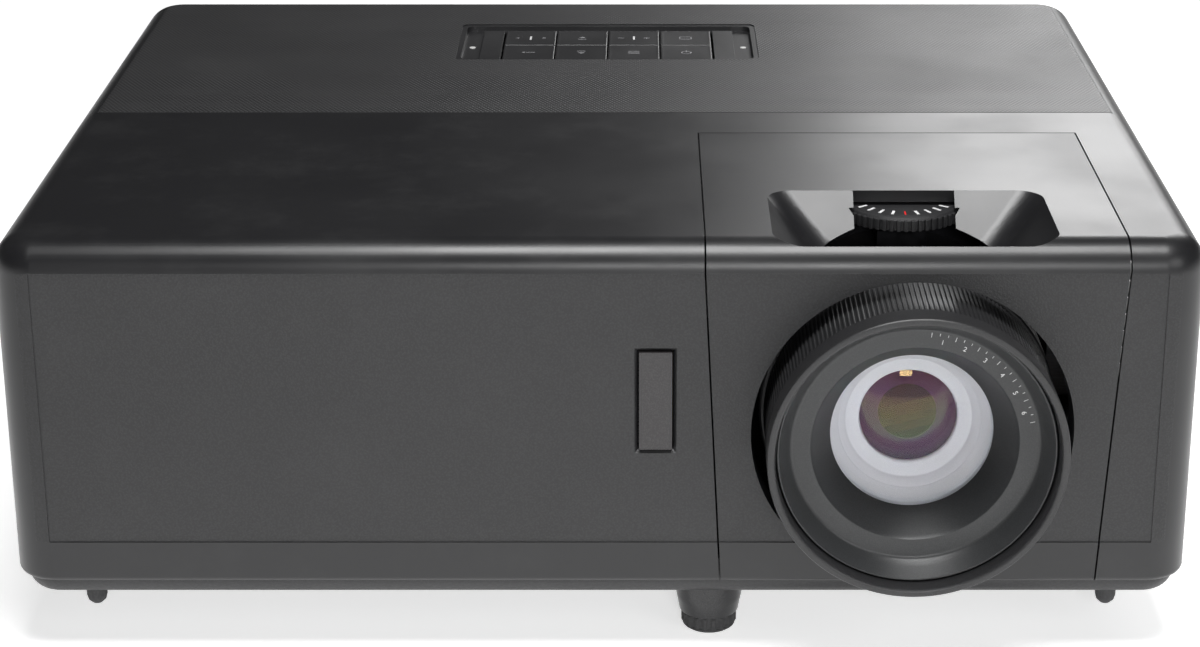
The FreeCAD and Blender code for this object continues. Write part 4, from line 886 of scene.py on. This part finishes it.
# ---- infra-red window: a framed, slightly sunk pane
def makeWindow():
    low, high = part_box("ir_window")
    inset = 2.5 * mm
    paneLow = Vector((low.x + inset, low.y, low.z + inset))
    paneHigh = Vector((high.x - inset, high.y - 1.5 * mm, high.z - inset))
    pane = startBox(paneLow, paneHigh)
    editMode(pane, "FACE")
    chooseFaces(pane, lambda c, n: n.y < -0.9)
    bpy.ops.mesh.inset(thickness=0.7 * mm, depth=-0.25 * mm)
    bpy.ops.mesh.inset(thickness=0.3 * mm, depth=0.1 * mm)
    chooseFaces(pane, lambda c, n: n.y > 0.9)
    bpy.ops.mesh.extrude_region_move(TRANSFORM_OT_translate={"value": (0, 1.5 * mm, 0)})
    objectMode()
    softenEdges(pane, 0.3 * mm, 40, 2)
    finishPiece(pane, "remoteWindow", "projector_body", [paints["window"]], ["ir_window"])


makeWindow()


# ---- foot knobs and pads
def makeFeet():
    for place in ("front", "left", "right"):
        for kind, name in (("foot_knob_", "footKnob_"), ("foot_pad_", "footPad_")):
            node = kind + place
            piece = copyNode(node)
            softenEdges(piece, 0.2 * mm, 35, 2)
            finishPiece(piece, name + place, node, [paints["rubber"]], [node])


makeFeet()
print("feet done")


# ---- floor, light and camera
studio = {
    "floorSize": 8.0,
    "worldGrey": 0.030,
    "floorGlow": 0.62,
    "lights": {
        "overheadBox": ((0.08, -0.30, 1.0), (0.55, 0.34), 11, (0.08, -0.13, 0.1)),
        "frontRightBox": ((1.2, -1.4, 0.9), (0.8, 0.8), 6, (0.1, -0.1, 0.06)),
        "rearRightBox": ((0.62, 1.7, 0.80), (0.8, 0.6), 9, (0.1, 0.05, 0.13)),
        "lensBox": ((0.16, -1.5, 0.62), (0.30, 0.20), 6.5, (0.097, -0.13, 0.076)),
    },
}


def makeStage():
    deselectAll()
    bpy.ops.mesh.primitive_plane_add(size=studio["floorSize"], location=(0, 0, 0))
    floor = bpy.context.object
    floor.name = "paleFloor"
    paint, tree, bsdf, vector = newPaint("paleFloorPaint", (0.86, 0.86, 0.86), 0.7)
    bsdf.inputs["Emission Color"].default_value = (1, 1, 1, 1)
    bsdf.inputs["Emission Strength"].default_value = studio["floorGlow"]
    floor.data.materials.append(paint)
    world = bpy.data.worlds.new("studioWorld")
    world.use_nodes = True
    grey = studio["worldGrey"]
    world.node_tree.nodes["Background"].inputs[0].default_value = (grey, grey, grey * 1.02, 1)
    bpy.context.scene.world = world
    for name, (place, size, power, aim) in studio["lights"].items():
        deselectAll()
        bpy.ops.object.light_add(type="AREA", location=place)
        light = bpy.context.object
        light.name = name
        light.data.shape = "RECTANGLE"
        light.data.size, light.data.size_y = size
        light.data.energy = power
        light.rotation_euler = (Vector(aim) - Vector(place)).to_track_quat("-Z", "Y").to_euler()


cameraFacts = {
    "place": (0.0132, -0.90125, 0.4090),
    "pitch": 19.73,
    "lens": 79.86,
    "shift": (-0.035, -0.06),
}


def makeCamera():
    deselectAll()
    bpy.ops.object.camera_add(location=cameraFacts["place"])
    camera = bpy.context.object
    camera.rotation_euler = (math.radians(90 - cameraFacts["pitch"]), 0, 0)
    camera.data.lens = cameraFacts["lens"]
    camera.data.sensor_width = 36
    camera.data.shift_x, camera.data.shift_y = cameraFacts["shift"]
    bpy.context.scene.camera = camera


makeStage()
makeCamera()
bpy.context.scene.view_settings.view_transform = "Standard"
